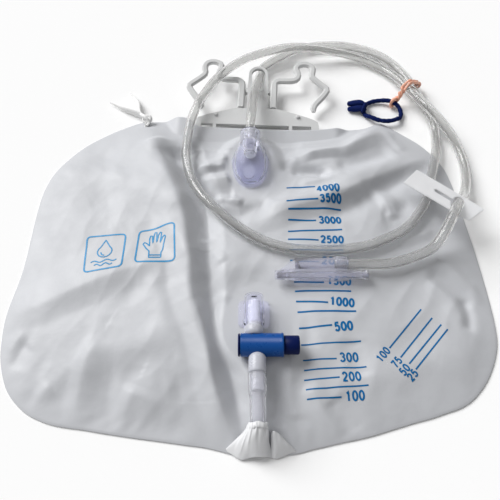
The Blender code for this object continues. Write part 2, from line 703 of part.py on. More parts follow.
def build_chamber(dome_look, base_look):
    outer = loft([chamber_ring(s, 0.0, 0.0) for s in CHAMBER_STATIONS])
    dome = add_mesh("chamber_dome", *outer, dome_look)
    inside = [s for s in CHAMBER_STATIONS if 29.0 < s[0] < 66.0]
    cavity = loft([chamber_ring(s, CHAMBER_WALL, 2.0) for s in inside])
    cut(dome, add_mesh("chamber_cavity_cutter", *cavity))
    sleeve_radius = TUBE_OUTER / 2.0 + 1.4
    along = axis_frame((CHAMBER_X, TUBE_END_Y + 0.6, NECK_AXIS_Z), (0.0, 1.0, 0.0))
    sleeve = lathe([(0.0, sleeve_radius), (14.0, sleeve_radius)], along, 20)
    join(dome, add_mesh("chamber_sleeve", *sleeve))
    bore = lathe([(-4.0, TUBE_OUTER / 2.0 + GAP), (30.0, TUBE_OUTER / 2.0 + GAP)], along, 20)
    cut(dome, add_mesh("chamber_bore_cutter", *bore))

    rim = []
    for x, y in ((16.0, 54.0), (15.4, 46.0), (13.4, 37.0), (9.6, 30.2), (4.6, 27.0)):
        rim.append((CHAMBER_X + x - 1.4 + 0.6, y))
    mirrored = [(2.0 * CHAMBER_X - x, y) for x, y in reversed(rim)]
    top = [(-11.0, 61.6), (-5.0, 65.6), (7.8, 65.6), (13.8, 61.6)]
    outline = rim + mirrored + top
    base_top = CHAMBER_FLOOR + CHAMBER_BASE_THICKNESS
    base = add_mesh("chamber_base", *prism(outline, CHAMBER_FLOOR, base_top), base_look, False)
    wider = Matrix.Diagonal((PORT_HALF_X + 0.8, PORT_HALF_Y + 0.8, 1.0, 1.0))
    opening = Matrix.Translation((*PORT_CENTRE, 0.0)) @ wider
    port = lathe([(CHAMBER_FLOOR - 2.0, 1.0), (base_top + 2.0, 1.0)], opening, 20)
    cut(base, add_mesh("base_port_cutter", *port))
    notch = lathe([(-2.0, NECK_RADIUS + GAP), (14.0, NECK_RADIUS + GAP)],
                  axis_frame((CHAMBER_X, 62.4, NECK_AXIS_Z), (0.0, 1.0, 0.0)), 28)
    cut(base, add_mesh("base_notch_cutter", *notch))


def build_flap(look):
    """Soft disc that closes the end of the inlet tube, hinged at its upper edge."""
    radius = TUBE_OUTER / 2.0 + 0.6
    pivot = Vector((CHAMBER_X, TUBE_END_Y - 0.5, NECK_AXIS_Z + radius))
    place = axis_frame((0.0, -FLAP_THICKNESS, -radius), (0.0, 1.0, 0.0))
    profile = [(0.0, radius - 0.2), (FLAP_THICKNESS * 0.5, radius), (FLAP_THICKNESS, radius - 0.2)]
    disc = lathe(profile, place, 20)
    flap = add_mesh("reflux_flap", *disc, look)
    flap.location = pivot * MM


def along_x(profile, look, name, closed=False, segments=22):
    place = axis_frame((0.0, VALVE_Y, VALVE_Z), (1.0, 0.0, 0.0))
    return add_mesh(name, *lathe(profile, place, segments, closed), look)


def build_valve(clear_look, navy_look, seal_look):
    body = along_x(
        [(BARREL_LEFT, BARREL_RADIUS - 0.5), (BARREL_LEFT + 0.5, BARREL_RADIUS),
         (BARREL_RIGHT - 1.6, BARREL_RADIUS), (BARREL_RIGHT - 1.2, BARREL_RADIUS + 0.3),
         (BARREL_RIGHT, BARREL_RADIUS + 0.2)],
        clear_look, "valve_body")
    nozzle = [
        (-1.1, 6.3), (7.4, 7.1), (12.2, 7.3), (13.4, 6.6), (13.9, NOZZLE_RADIUS + 0.2),
        (33.0, NOZZLE_RADIUS - 0.1), (33.9, NOZZLE_RADIUS - 0.5),
    ]
    up = (0.0, 1.0, 0.0)
    down = (0.0, -1.0, 0.0)
    nozzle_place = axis_frame((NOZZLE_X, VALVE_Y, VALVE_Z), up)
    join(body, add_mesh("nozzle_form", *lathe(nozzle, nozzle_place, 22)))
    spigot = [
        (-2.3, SPIGOT_RADIUS), (17.9, SPIGOT_RADIUS), (18.7, SPIGOT_RADIUS - 0.5),
        (18.7, INSERT_RADIUS + 0.1), (29.6, INSERT_RADIUS - 0.1), (30.2, INSERT_RADIUS - 0.4),
    ]
    spigot_place = axis_frame((SPIGOT_X, VALVE_Y, VALVE_Z), down)
    join(body, add_mesh("spigot_form", *lathe(spigot, spigot_place, 22)))
    through = [(BARREL_LEFT - 3.0, BORE_RADIUS), (BARREL_RIGHT + 3.0, BORE_RADIUS)]
    cut(body, along_x(through, None, "barrel_bore_cutter"))
    cutters = [
        ("nozzle_bore_cutter", NOZZLE_X, up, 9.6, 36.0, NOZZLE_BORE),
        ("nozzle_port_cutter", 2.15, up, 4.0, 11.0, 1.5),
        ("spigot_bore_cutter", SPIGOT_X, down, 9.6, 33.0, INSERT_BORE),
        ("spigot_port_cutter", 7.2, down, 4.0, 11.0, 1.5),
    ]
    for name, x, way, start, end, radius in cutters:
        place = axis_frame((x, VALVE_Y, VALVE_Z), way)
        cut(body, add_mesh(name, *lathe([(start, radius), (end, radius)], place, 18)))

    groove = SEAL_WIDTH / 2.0 + 0.3
    plunger = [
        (-6.7, 7.2), (-6.3, 7.6), (-5.5, 7.6), (-5.5, LAND_RADIUS),
        (SEAL_LEFT_X - groove, LAND_RADIUS), (SEAL_LEFT_X - groove, GROOVE_RADIUS),
        (SEAL_LEFT_X + groove, GROOVE_RADIUS), (SEAL_LEFT_X + groove, LAND_RADIUS),
        (6.3, LAND_RADIUS), (6.7, 3.4), (16.9, 3.4), (17.3, LAND_RADIUS),
        (SEAL_RIGHT_X - groove, LAND_RADIUS), (SEAL_RIGHT_X - groove, GROOVE_RADIUS),
        (SEAL_RIGHT_X + groove, GROOVE_RADIUS), (SEAL_RIGHT_X + groove, LAND_RADIUS),
        (22.6, LAND_RADIUS), (22.9, KNOB_RADIUS), (33.2, KNOB_RADIUS), (33.7, KNOB_RADIUS - 0.6),
    ]
    along_x(plunger, navy_look, "valve_plunger")
    for name, x in (("plunger_seal_left", SEAL_LEFT_X), ("plunger_seal_right", SEAL_RIGHT_X)):
        half = SEAL_WIDTH / 2.0
        low = GROOVE_RADIUS + 0.12
        ring = [
            (x - half, 0.5 * (low + SEAL_RADIUS)), (x - half + 0.3, low), (x + half - 0.3, low),
            (x + half, 0.5 * (low + SEAL_RADIUS)), (x + half - 0.3, SEAL_RADIUS),
            (x - half + 0.3, SEAL_RADIUS),
        ]
        along_x(ring, seal_look, name, closed=True)


def build_outlet_tube(look):
    centre = catmull_rom(OUTLET_ROUTE, parts=2)
    outer = []
    inner = []
    for k, spot in enumerate(centre):
        ahead = (centre[min(k + 1, len(centre) - 1)] - centre[max(k - 1, 0)]).normalized()
        flare = 1.0 - soft_step(-spot.y, 136.5, 141.5)
        bore = OUTLET_BORE + (INSERT_RADIUS + 0.45 - OUTLET_BORE) * flare
        outer.append(circle(spot, ahead, OUTLET_RADIUS + (OUTLET_FLARE - OUTLET_RADIUS) * flare, 16))
        inner.append(circle(spot, ahead, bore, 16))
    points, faces = closed_loft(outer + inner[::-1])
    add_mesh("outlet_tube", points, faces, look)


def build_holder(look):
    start = VALVE_Y + 14.6
    length = 21.6
    place = axis_frame((NOZZLE_X, start, VALVE_Z), (0.0, 1.0, 0.0))
    outside = [(0.0, HOLDER_RADIUS), (length - 1.4, HOLDER_RADIUS), (length, 5.6)]
    sleeve = add_mesh("nozzle_holder", *lathe(outside, place, 24), look)
    foot = []
    for cx, cy, a in ((12.0, -74.0, 0.0), (-4.2, -74.0, 90.0), (-4.2, -88.6, 180.0), (12.0, -88.6, 270.0)):
        foot += arc_points(cx, cy, 3.4, a, a + 90.0, 4)
    join(sleeve, add_mesh("holder_foot", *prism(foot, 13.7, 15.9), look))
    bore = lathe([(-3.0, HOLDER_BORE), (length - 1.6, HOLDER_BORE)], place, 24)
    cut(sleeve, add_mesh("holder_bore_cutter", *bore))


def build_connector(look, cap_look, septum_look):
    along = axis_frame((0.0, CONNECTOR_Y, CONNECTOR_Z), (1.0, 0.0, 0.0))
    main = [
        (20.2, TIP_RADIUS - 0.2), (25.4, TIP_RADIUS), (25.7, 4.2), (27.0, 4.2), (27.3, 3.5), (28.4, 3.5),
        (28.7, 4.2), (31.0, 4.2), (31.4, CONNECTOR_RADIUS), (58.0, CONNECTOR_RADIUS + 0.3),
        (70.0, CONNECTOR_RADIUS),
        (71.5, 3.2), (SAMPLING_END_X - 1.8, 3.0), (SAMPLING_END_X - 1.6, 3.5), (SAMPLING_END_X, 3.5),
    ]
    body = add_mesh("connector_body", *lathe(main, along, 22), look)
    branch_start = Vector((42.0, CONNECTOR_Y + 1.2, CONNECTOR_Z))
    branch_end = Vector((60.0, SOCKET_Y, CONNECTOR_Z))
    reach = (branch_end - branch_start).length
    lean = axis_frame(branch_start, (branch_end - branch_start).normalized())
    join(body, add_mesh("branch_form", *lathe([(0.0, 3.6), (reach + 1.5, 4.8)], lean, 20)))
    socket_place = axis_frame((58.0, SOCKET_Y, CONNECTOR_Z), (1.0, 0.0, 0.0))
    mouth = SOCKET_MOUTH_X - 58.0
    socket = [(0.0, 4.7), (3.0, SOCKET_RADIUS), (mouth, SOCKET_RADIUS)]
    join(body, add_mesh("socket_form", *lathe(socket, socket_place, 22)))
    fit = TUBE_OUTER / 2.0 + 0.2
    bores = [
        ("socket_bore_cutter", [(2.4, fit), (mouth + 4.0, fit)], socket_place, 20),
        ("branch_bore_cutter", [(1.0, 2.2), (reach + 3.0, 2.6)], lean, 16),
        ("main_bore_cutter", [(17.0, 1.6), (SAMPLING_END_X - 5.0, 1.6)], along, 16),
        ("septum_seat_cutter", [(SAMPLING_END_X - 4.9, 2.2), (SAMPLING_END_X + 4.0, 2.2)], along, 16),
    ]
    for name, profile, place, segments in bores:
        cut(body, add_mesh(name, *lathe(profile, place, segments)))

    cap = [
        (CAP_LEFT, 3.0), (CAP_LEFT + 0.5, 3.3), (24.6, CAP_RADIUS), (25.35, CAP_RADIUS),
        (25.35, TIP_RADIUS + 0.3), (19.9, TIP_RADIUS + 0.05), (19.9, 0.4),
    ]
    cap_rings = lathe(cap, along, 20)
    add_mesh("connector_cap", *cap_rings, cap_look)
    plug = [(SAMPLING_END_X - 4.4, 1.9), (SAMPLING_END_X + 0.2, 1.9), (SAMPLING_END_X + 0.6, 1.4)]
    add_mesh("sampling_septum", *lathe(plug, along, 16), septum_look)


def clamp_matrix():
    long_way = Vector((0.766, -0.643, 0.0)).normalized()
    normal = Vector((-0.367, -0.439, 0.819)).normalized()
    wide_way = normal.cross(long_way).normalized()
    turn = Matrix((long_way, wide_way, normal)).transposed().to_4x4()
    return Matrix.Translation(Vector(CLAMP_CENTRE)) @ turn


def build_clamp(look):
    frame = frame_object("clamp_frame", clamp_matrix())
    half = CLAMP_LENGTH / 2.0
    wide = CLAMP_WIDTH / 2.0
    outline = [
        (half - 1.5, -wide), (half, 1.5 - wide), (half, wide - 1.5), (half - 1.5, wide),
        (-half, wide), (-half, -wide),
    ]
    plate = add_mesh("slide_clamp", *prism(outline, 0.0, CLAMP_THICKNESS), look, False, frame)
    lip = [
        (-half - 1.2, -wide, 0.6), (-half + 1.4, -wide, 0.2), (-half + 1.4, -wide, 1.4),
        (-half - 1.2, -wide, 4.4),
    ]
    far = [(x, wide, z) for x, y, z in lip]
    join(plate, add_mesh("clamp_lip", *loft([lip, far]), frame=frame))
    slot = arc_points(CLAMP_SLOT_X, 0.0, CLAMP_HOLE_RADIUS, -160.0, 160.0, 17)
    slot += arc_points(-6.0, 0.0, CLAMP_SLIT, 100.0, 260.0, 5)
    cut(plate, add_mesh("clamp_slot_cutter", *prism(slot, -2.0, CLAMP_THICKNESS + 2.0), frame=frame))


def add_cord(name, points, radius, look, level):
    data = bpy.data.curves.new(name, "CURVE")
    data.dimensions = "3D"
    data.bevel_depth = radius * MM
    data.bevel_resolution = level
    data.use_fill_caps = True
    line = data.splines.new("POLY")
    line.points.add(len(points) - 1)
    for spot, point in zip(points, line.points):
        point.co = (spot[0] * MM, spot[1] * MM, spot[2] * MM, 1.0)
    data.materials.append(look)
    made = bpy.data.objects.new(name, data)
    bpy.context.scene.collection.objects.link(made)
    return made


def inlet_curve():
    """Whole centre line of the inlet tube, lifted where it would sink into the bag."""
    place = hanger_matrix()
    route = [Vector(p) for p in INLET_START]
    route += [place @ Vector(p) for p in INLET_EYE]
    route += [Vector(p) for p in INLET_ROUTE]
    lifted = []
    for spot in route:
        over_plate = spot.y > 97.0 and abs(spot.x - 7.0) < 60.0
        floor = TUBE_OUTER / 2.0 if over_plate else lie_on(spot.x, spot.y, TUBE_OUTER / 2.0) + LAY_ROOM
        lifted.append(Vector((spot.x, spot.y, max(spot.z, floor))))
    return catmull_rom(lifted, parts=8)


def build_inlet_tube(look):
    points = even_steps(inlet_curve(), 80, 40.0)
    add_cord("inlet_tube", points, TUBE_OUTER / 2.0, look, 3)


def build_ring(look):
    """Elastic loop whose two ends are hitched together at the left."""
    low = RING_RADIUS + 0.4
    loop = []
    for i in range(15):
        angle = math.radians(196.0 + 328.0 * i / 14.0)
        wide = 16.6
        lift = 3.1 * math.exp(-((math.degrees(angle) - 410.0) / 38.0) ** 2)
        lift += 2.8 * soft_step(-math.sin(angle), 0.35, 0.8)
        away = 13.2 * math.sin(angle) - 1.6 * math.cos(angle)
        loop.append((119.6 + wide * math.cos(angle), 119.6 + away, low + lift))
    route = [(88.6, 123.4, low), (96.0, 123.2, low), (101.0, 120.6, low)] + loop
    route += [(101.4, 126.4, low + 4.2), (96.0, 128.4, low + 2.4), (88.6, 129.4, low)]
    lifted = [(x, y, max(z, lie_on(x, y, RING_RADIUS))) for x, y, z in route]
    points = even_steps(catmull_rom(lifted, parts=6), 36)
    add_cord("elastic_ring", points, RING_RADIUS, look, 2)


def build_band(look):
    """Elastic band looped round the ring, twisted, and drawn over both strands of the tube."""
    start = Vector((130.3, 128.7, 0.0))
    way = Vector((0.76, 0.65, 0.0)).normalized()
    side = Vector((-way.y, way.x, 0.0))
    up = Vector((0.0, 0.0, 1.0))
    ring_z = RING_RADIUS + 3.5
    reach = RING_RADIUS + BAND_RADIUS + 0.7
    over = TUBE_OUTER / 2.0 + BAND_RADIUS + 1.2
    inner_strand = (16.2, 12.5)
    outer_strand = (27.8, 4.8)

    def spot(along, height, across):
        return start + way * along + up * height + side * across

    arm = []
    for angle in (-10.0, 12.0, 34.0, 56.0):
        turn = math.radians(angle)
        arm.append((outer_strand[0] + over * math.cos(turn), outer_strand[1] + over * math.sin(turn)))
    for angle in (58.0, 84.0, 110.0, 136.0):
        turn = math.radians(angle)
        arm.append((inner_strand[0] + over * math.cos(turn), inner_strand[1] + over * math.sin(turn)))
    first = [spot(s, z, BAND_SPREAD) for s, z in arm]
    second = [spot(s, z, -BAND_SPREAD) for s, z in reversed(arm)]
    top = Vector((arm[-1][0] - 1.6, arm[-1][1] - 1.7))
    foot = Vector((3.6, ring_z))
    down = []
    back = []
    for i in range(9):
        t = i / 8.0
        middle = top.lerp(foot, t)
        turn = math.radians(450.0 * t)
        sway = BAND_SPREAD * math.cos(turn)
        rise = BAND_SPREAD * math.sin(turn)
        down.append(spot(middle.x, middle.y + rise, sway))
        back.append(spot(middle.x, middle.y - rise, -sway))
    hoop = []
    for i in range(7):
        turn = math.radians(50.0 + 260.0 * i / 6.0)
        hoop.append(spot(reach * math.cos(turn), ring_z + reach * math.sin(turn), 0.0))
    route = first + down + hoop + back[::-1] + second
    points = even_steps(catmull_rom(route, parts=4), 52, 2.0)
    add_cord("rubber_band", points, BAND_RADIUS, look, 2)


def build_cord(look):
    from_eyelet = [
        (-34.5, 29.6, 1.6), (-27.0, 25.0, 3.2), (-18.0, 19.4, 4.2), (-10.0, 14.2, 4.8), (-5.2, 9.2, 5.4),
        (-2.8, 5.0, 6.4), (-1.5, 2.0, 5.8), (-1.1, 0.3, 3.8), (-0.6, -0.2, 2.3), (0.6, -0.2, 2.3),
        (1.1, 0.3, 4.0), (1.3, 2.2, 6.2), (1.2, 5.8, 8.2), (-1.8, 10.2, 8.4), (-6.8, 12.0, 8.2),
        (-9.6, 8.2, 7.4), (-6.6, 5.0, 7.0), (-1.6, 6.8, 5.2), (1.2, 11.8, 5.2), (-1.6, 17.4, 5.4),
        (-8.0, 25.8, 3.6), (-13.8, 34.8, 2.4), (-18.7, 42.2, 1.6),
    ]
    route = [(EYELET_CENTRE[0] + x, EYELET_CENTRE[1] + y, z) for x, y, z in from_eyelet]
    points = even_steps(catmull_rom(route, parts=6), 48, 4.0)
    add_cord("hanging_cord", points, CORD_RADIUS, look, 2)


def main():
    clear_scene()
    film = material("printed_film", (0.80, 0.81, 0.83), 0.35, 0.3)
    back = material("white_film", (0.86, 0.86, 0.87), 0.45)
    white = material("hanger_white", (0.82, 0.82, 0.81), 0.4)
    tint = material("chamber_tint", (0.66, 0.67, 0.86), 0.15, 0.7)
    clear = material("clear_tube", (0.80, 0.82, 0.84), 0.12, 0.8)
    tap = material("tap_clear", (0.42, 0.60, 0.86), 0.15, 0.6)
    navy = material("navy_plastic", (0.01, 0.03, 0.22), 0.35)
    rubber = material("grey_rubber", (0.30, 0.31, 0.34), 0.6)
    elastic = material("navy_elastic", (0.01, 0.02, 0.16), 0.8)
    orange = material("orange_rubber", (0.86, 0.42, 0.24), 0.5)
    string = material("white_cord", (0.85, 0.85, 0.84), 0.8)

    build_front_film(film)
    build_back_film(back)
    hanger = frame_object("hanger_frame", hanger_matrix())
    build_hanger(white, hanger)
    build_hook("left_hook", -1, white, hanger)
    build_hook("right_hook", 1, white, hanger)
    build_chamber(tint, tint)
    build_flap(rubber)
    build_valve(tap, navy, rubber)
    build_outlet_tube(clear)
    build_holder(tint)
    build_connector(tint, tint, rubber)
    build_clamp(white)
    build_inlet_tube(clear)
    build_ring(elastic)
    build_band(orange)
    build_cord(string)


main()
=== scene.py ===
import math

import bmesh
import bpy
import numpy as np
from mathutils import Matrix, Vector, noise
from mathutils.bvhtree import BVHTree


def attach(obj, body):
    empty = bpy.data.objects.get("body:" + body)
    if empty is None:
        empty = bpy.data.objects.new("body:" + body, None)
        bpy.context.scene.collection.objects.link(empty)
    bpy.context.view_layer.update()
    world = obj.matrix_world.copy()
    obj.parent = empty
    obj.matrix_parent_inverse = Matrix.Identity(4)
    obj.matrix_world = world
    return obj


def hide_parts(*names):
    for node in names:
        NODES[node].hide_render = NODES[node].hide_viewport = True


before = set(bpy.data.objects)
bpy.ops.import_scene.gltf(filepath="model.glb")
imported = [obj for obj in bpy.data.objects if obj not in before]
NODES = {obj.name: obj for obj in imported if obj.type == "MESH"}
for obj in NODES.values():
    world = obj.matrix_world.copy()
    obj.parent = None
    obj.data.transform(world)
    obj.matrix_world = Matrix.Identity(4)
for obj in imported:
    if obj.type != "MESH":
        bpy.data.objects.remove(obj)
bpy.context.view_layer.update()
MM = 0.001
TURN = 2.0 * math.pi
UP = Vector((0.0, 0.0, 1.0))

# Camera and floor in metres, light
CAMERA_TARGET = (0.0012, -0.0219, 0.0)
CAMERA_AWAY = (0.0, -0.208, 0.3603)
LENS = 38.9
FLOOR_HALF = 3.0
FLOOR_WHITE = 0.965
SKY_LIGHT = 0.34
SUN_STRENGTH = 3.25
SUN_WIDTH = 40.0
SUN_WAY = (0.66, -0.50, -0.70)

# Sizes that the pieces share with the solids
GAP = 0.3
TUBE_OUTER = 7.8
TUBE_INNER = 5.4
SHEET = 0.6
SEAM_MARGIN = 1.5
BAG_RISE = 15.0
BAG_CENTRE = (0.0, -34.6)
HANGER_ORIGIN = (6.5, 97.4, 3.4)
HANGER_TILT = 7.0
HANGER_TURN = -2.5
CHAMBER_X = 1.4
CHAMBER_WALL = 1.3
NECK_AXIS_Z = 22.7
NECK_MOUTH_Y = 76.3
VALVE_Y = -106.6
VALVE_Z = 22.0
NOZZLE_X = 3.9
SPIGOT_X = 5.9
CONNECTOR_Y = -55.0
CONNECTOR_Z = 22.3
SOCKET_Y = -46.3
CLAMP_CENTRE = (147.4, 12.6, 25.6)
CLAMP_ALONG = (0.766, -0.643, 0.0)
CLAMP_NORMAL = (-0.367, -0.439, 0.819)
CLAMP_THICKNESS = 1.6
RING_RADIUS = 1.9
BAND_RADIUS = 1.2
BAND_SPREAD = 1.5
LAY_ROOM = 0.7
RING_CENTRE = (119.6, 119.6)
RING_START = 410.0
RING_HALF = (16.6, 13.2)
RING_LEAN = 1.6
RING_START_LIFT = 3.1
RING_FRONT_LIFT = 2.8
RING_LOW = RING_RADIUS + 0.4
HITCH = (103.4, 122.4, 4.9)
HITCH_RADIUS = 1.5
BAND_START = (130.3, 128.7, 0.0)
BAND_WAY = (0.76, 0.65, 0.0)
CHAMBER_SIDES = 64
TAIL_X = 6.3
TAIL_Z = 15.0
BARREL_BORE = 6.55
PORT_BORE = 3.0
CONNECTOR_BORE = 1.9
OUTLET_OUTER = 5.0
OUTLET_INNER = 3.6

# Where the film rises over the hanger plate: the plate's middle, how far the rise reaches to its
# sides and below it, and the plate's face with its slope
PLATE_X = 7.0
PLATE_FADE_X = (67.0, 82.0)
PLATE_FADE_Y = (66.0, 82.0)
PLATE_TOP = 6.6
PLATE_SLOPE = 0.12
PLATE_Y = 92.0

# The film's hem, how softly it runs into its seats, and its creases: how round the crest and the
# foot are and how deep, then its slow waves, ridges and crumples and the puckers along the hem
EDGE_STEPS = 720
HEM = 1.2
HEM_REACH = 150.0
SOLID_BLEND = 1.45
FILM_BLEND = 1.6
CREST = 0.1
FOOT = 0.14
DEEPER = 1.18
WAVES = 1.3
RIDGES = 1.0
CRUMPLES = 0.3
PUCKER = 0.35

# How far the ink lies off the film, above which y the scale is printed bolder, and the height
# and width of its digits
INK_LIFT = 0.14
BOLD_ABOVE = -92.0
DIGIT = (6.0, 4.4)
SIDE_DIGIT = (5.2, 3.8)

# Edge of the printed sheet, from the lower right round by the top and back
FILM_EDGE = [
    (39.3, -167.4), (48.9, -165.3), (58.6, -163.2), (68.4, -161.3), (78.2, -159.2), (88.2, -156.4),
    (98.3, -153.5), (108.4, -150.7), (118.6, -148.2), (128.9, -144.9), (139.4, -141.4), (149, -135.5),
    (159.5, -124.5), (167.6, -111), (172.4, -98), (174, -84), (174, -64.6), (172.6, -31.3), (169.6, 5),
    (166.3, 39.5), (161, 60.5), (148, 80), (131.5, 94.5), (119.1, 104.5), (112, 104.8), (101, 100),
    (89.2, 98.2), (62.7, 93.6), (34, 93), (5, 94.2), (-22, 95.6), (-40, 96.6), (-47.5, 100.5), (-54, 106),
    (-69.9, 107.4), (-84, 107.6), (-95.6, 106.4), (-107, 101), (-119.7, 93.8), (-140.2, 78.5),
    (-157.8, 56.2), (-165.4, 36), (-167.6, 10.7), (-168, -39), (-172.3, -74.8), (-171.4, -96),
    (-168.4, -112), (-160, -130.5), (-147.2, -143.3), (-135.5, -149.4), (-125.1, -152.6),
    (-115.2, -154.2), (-105.3, -155.4), (-95.4, -157), (-75.8, -159.8), (-56.3, -162.2), (-37, -164.7),
    (-27.4, -165.9), (-17.8, -168), (-8.3, -170.4), (1.2, -171), (13.8, -171), (29.6, -169.8),
]

# Broad folds of the solid's front sheet, which the cords lie on: start, end, half width and height
# of each. The film itself has creases in place of the first ones.
CREASED = 6
FOLDS = [
    (-160, -62, -52, -26, 9, 3.6), (-150, -82, -62, -60, 11, -3.4), (-72, 50, -52, 4, 8, -4.2),
    (-52, 4, -38, -56, 7, -5.6), (-36, -58, -26, -104, 7, -4.6), (-25, -108, -15, -150, 7, -4.4),
    (20, 8, 88, 23, 7, 3), (-66, -60, -40, -118, 9, 2.2), (36, -92, 31, -150, 8, -3.2),
    (-66, 64, -38, 34, 9, -4.2), (30, 50, 58, 44, 6, -3.6), (48, 76, 116, 92, 8, 3.2),
    (72, 6, 132, 48, 9, -3.2), (62, 22, 122, 66, 8, 2.8), (112, -6, 160, -24, 8, -2.6),
    (-118, 46, -60, 12, 12, 2.4), (-140, -128, -62, -98, 12, 2.2), (58, -132, 128, -112, 12, 2.2),
    (-60, -12, -34, -48, 8, 2.4),
]

# Flat seats under the moulded parts: centre, half sizes and height of the sheet
SEATS = [
    (1.4, 51, 19, 27, 13.3), (6, -90, 27, 31, 12.7),
]

# Creases of the film: points along each, width on its left and on its right, and height.
# Where a width is a pair, it grows from the start to the end.
SHARP_CREASES = [
    ([(-2, -184), (-6, -174), (-10, -165), (-15, -150), (-21, -135), (-25, -119), (-28, -104), (-32, -88),
      (-39, -71), (-41, -60), (-42, -41), (-46, -22), (-50, -3), (-57, 18), (-67, 42), (-75, 64), (-84, 89),
      (-92, 112)], (11, 36), (13, 16), 6),
    ([(1, -183), (-1, -173), (-3, -165), (-6, -149), (-9, -133), (-13, -117), (-16, -103), (-22, -86),
      (-27, -71), (-28, -58), (-30, -39), (-30, -20), (-32, 0), (-36, 21), (-46, 45), (-54, 68), (-60, 90)],
      (13, 18), (10, 13), -5.6),
    ([(-31, -18), (-27, -30), (-18, -43)], 6, 8, 1.6),
    ([(-177, -84), (-166, -77), (-147, -70), (-127, -62), (-107, -54), (-86, -46), (-65, -42),
      (-47, -36)], 26, 16, 3.2),
    ([(-112, -158), (-112, -143), (-111, -130), (-108, -113), (-100, -96)], 9, 20, 2.4),
    ([(-84, -163), (-81, -152), (-78, -141), (-73, -129)], 8, 20, 2.6),
    ([(-166, -106), (-162, -99), (-156, -90)], 8, 6, 2),
    ([(-145, -148), (-138, -137), (-130, -127)], 6, 9, 1.7),
    ([(-88, 74), (-75, 79), (-58, 80)], 6, 11, 2.6),
    ([(-39, 43), (-28, 52), (-15, 58)], 7, 7, 2.6),
    ([(-41, 38), (-28, 34), (-12, 35)], 7, 8, 2.8),
    ([(5, -7), (24, 0), (39, 6), (63, 13), (73, 17), (90, 31), (110, 41), (128, 52), (148, 65),
      (160, 74)], (17, 12), (11, 8), 4),
    ([(-67, 67), (-41, 70), (-7, 67), (27, 73), (52, 73), (82, 77)], 2, 3, 0.8),
    ([(-43, 50), (-33, 46), (-18, 48)], 5, 4, 2.6),
    ([(-28, 14), (-18, 15), (-3, 10)], 6, 4, 2.4),
    ([(39, 59), (57, 65), (80, 70), (97, 80), (117, 92)], (9, 11), (6, 14), 4.6),
    ([(131, 69), (124, 84), (120, 100)], 5, 8, 1.8),
    ([(39, 29), (64, 35), (79, 43)], 5, 6, 1.6),
    ([(112, -2), (107, 15), (101, 30)], 6, 10, 2.2),
    ([(110, -26), (124, -17), (142, -9)], 5, 6, 1.8),
    ([(131, -32), (149, -42), (163, -56), (172, -70)], 6, 8, 2.2),
    ([(128, -53), (144, -68), (153, -89)], 7, 9, 1.6),
    ([(29, -153), (28, -135), (28, -118)], 6, 12, 1.4),
    ([(60, -164), (52, -152), (45, -140), (37, -128)], 8, 9, 2),
]
SOFT_CREASES = [
    ([(-151, -84), (-125, -74), (-98, -64), (-71, -57)], 9, 16, -0.8),
    ([(-158, -132), (-120, -138), (-60, -140)], 34, 24, -3),
    ([(-97, -158), (-98, -139), (-96, -120), (-98, -102)], 9, 11, -0.9),
    ([(-93, -135), (-70, -135), (-44, -130)], 16, 14, 1.8),
    ([(-101, -155), (-69, -158), (-33, -161)], 10, 8, -1.8),
    ([(-160, -117), (-157, -106), (-151, -99)], 5, 7, -2),
    ([(-108, 2), (-117, 37), (-125, 77)], 16, 10, -2.4),
    ([(-66, 62), (-51, 67), (-36, 69)], 8, 8, -2.6),
    ([(-35, 17), (-22, 19), (-10, 19)], 6, 6, -2.4),
    ([(80, 12), (97, 24), (117, 37), (135, 48)], 7, 10, -2),
    ([(-26, 2), (-6, -1), (10, 8), (18, 15)], 6, 8, -2.4),
    ([(70, 52), (88, 55), (108, 61), (124, 69)], 9, 7, -3.4),
    ([(34, 45), (55, 46), (67, 39)], 5, 6, -2.6),
    ([(102, 5), (116, 3), (128, 16)], 7, 7, -2.2),
    ([(131, -44), (148, -57), (163, -72)], 5, 8, -2.2),
    ([(154, -93), (157, -76), (156, -64)], 5, 4, -2.6),
    ([(18, -158), (19, -141), (18, -122), (17, -109)], 6, 8, -3),
    ([(68, -161), (60, -149), (53, -138)], 6, 9, -1.8),
    ([(75, -126), (72, -111), (72, -98)], 9, 7, -1.4),
    ([(135, -128), (150, -106), (160, -84)], 14, 12, 1.6),
    ([(-18, -93), (-17, -76), (-12, -64)], 6, 5, 1.6),
]

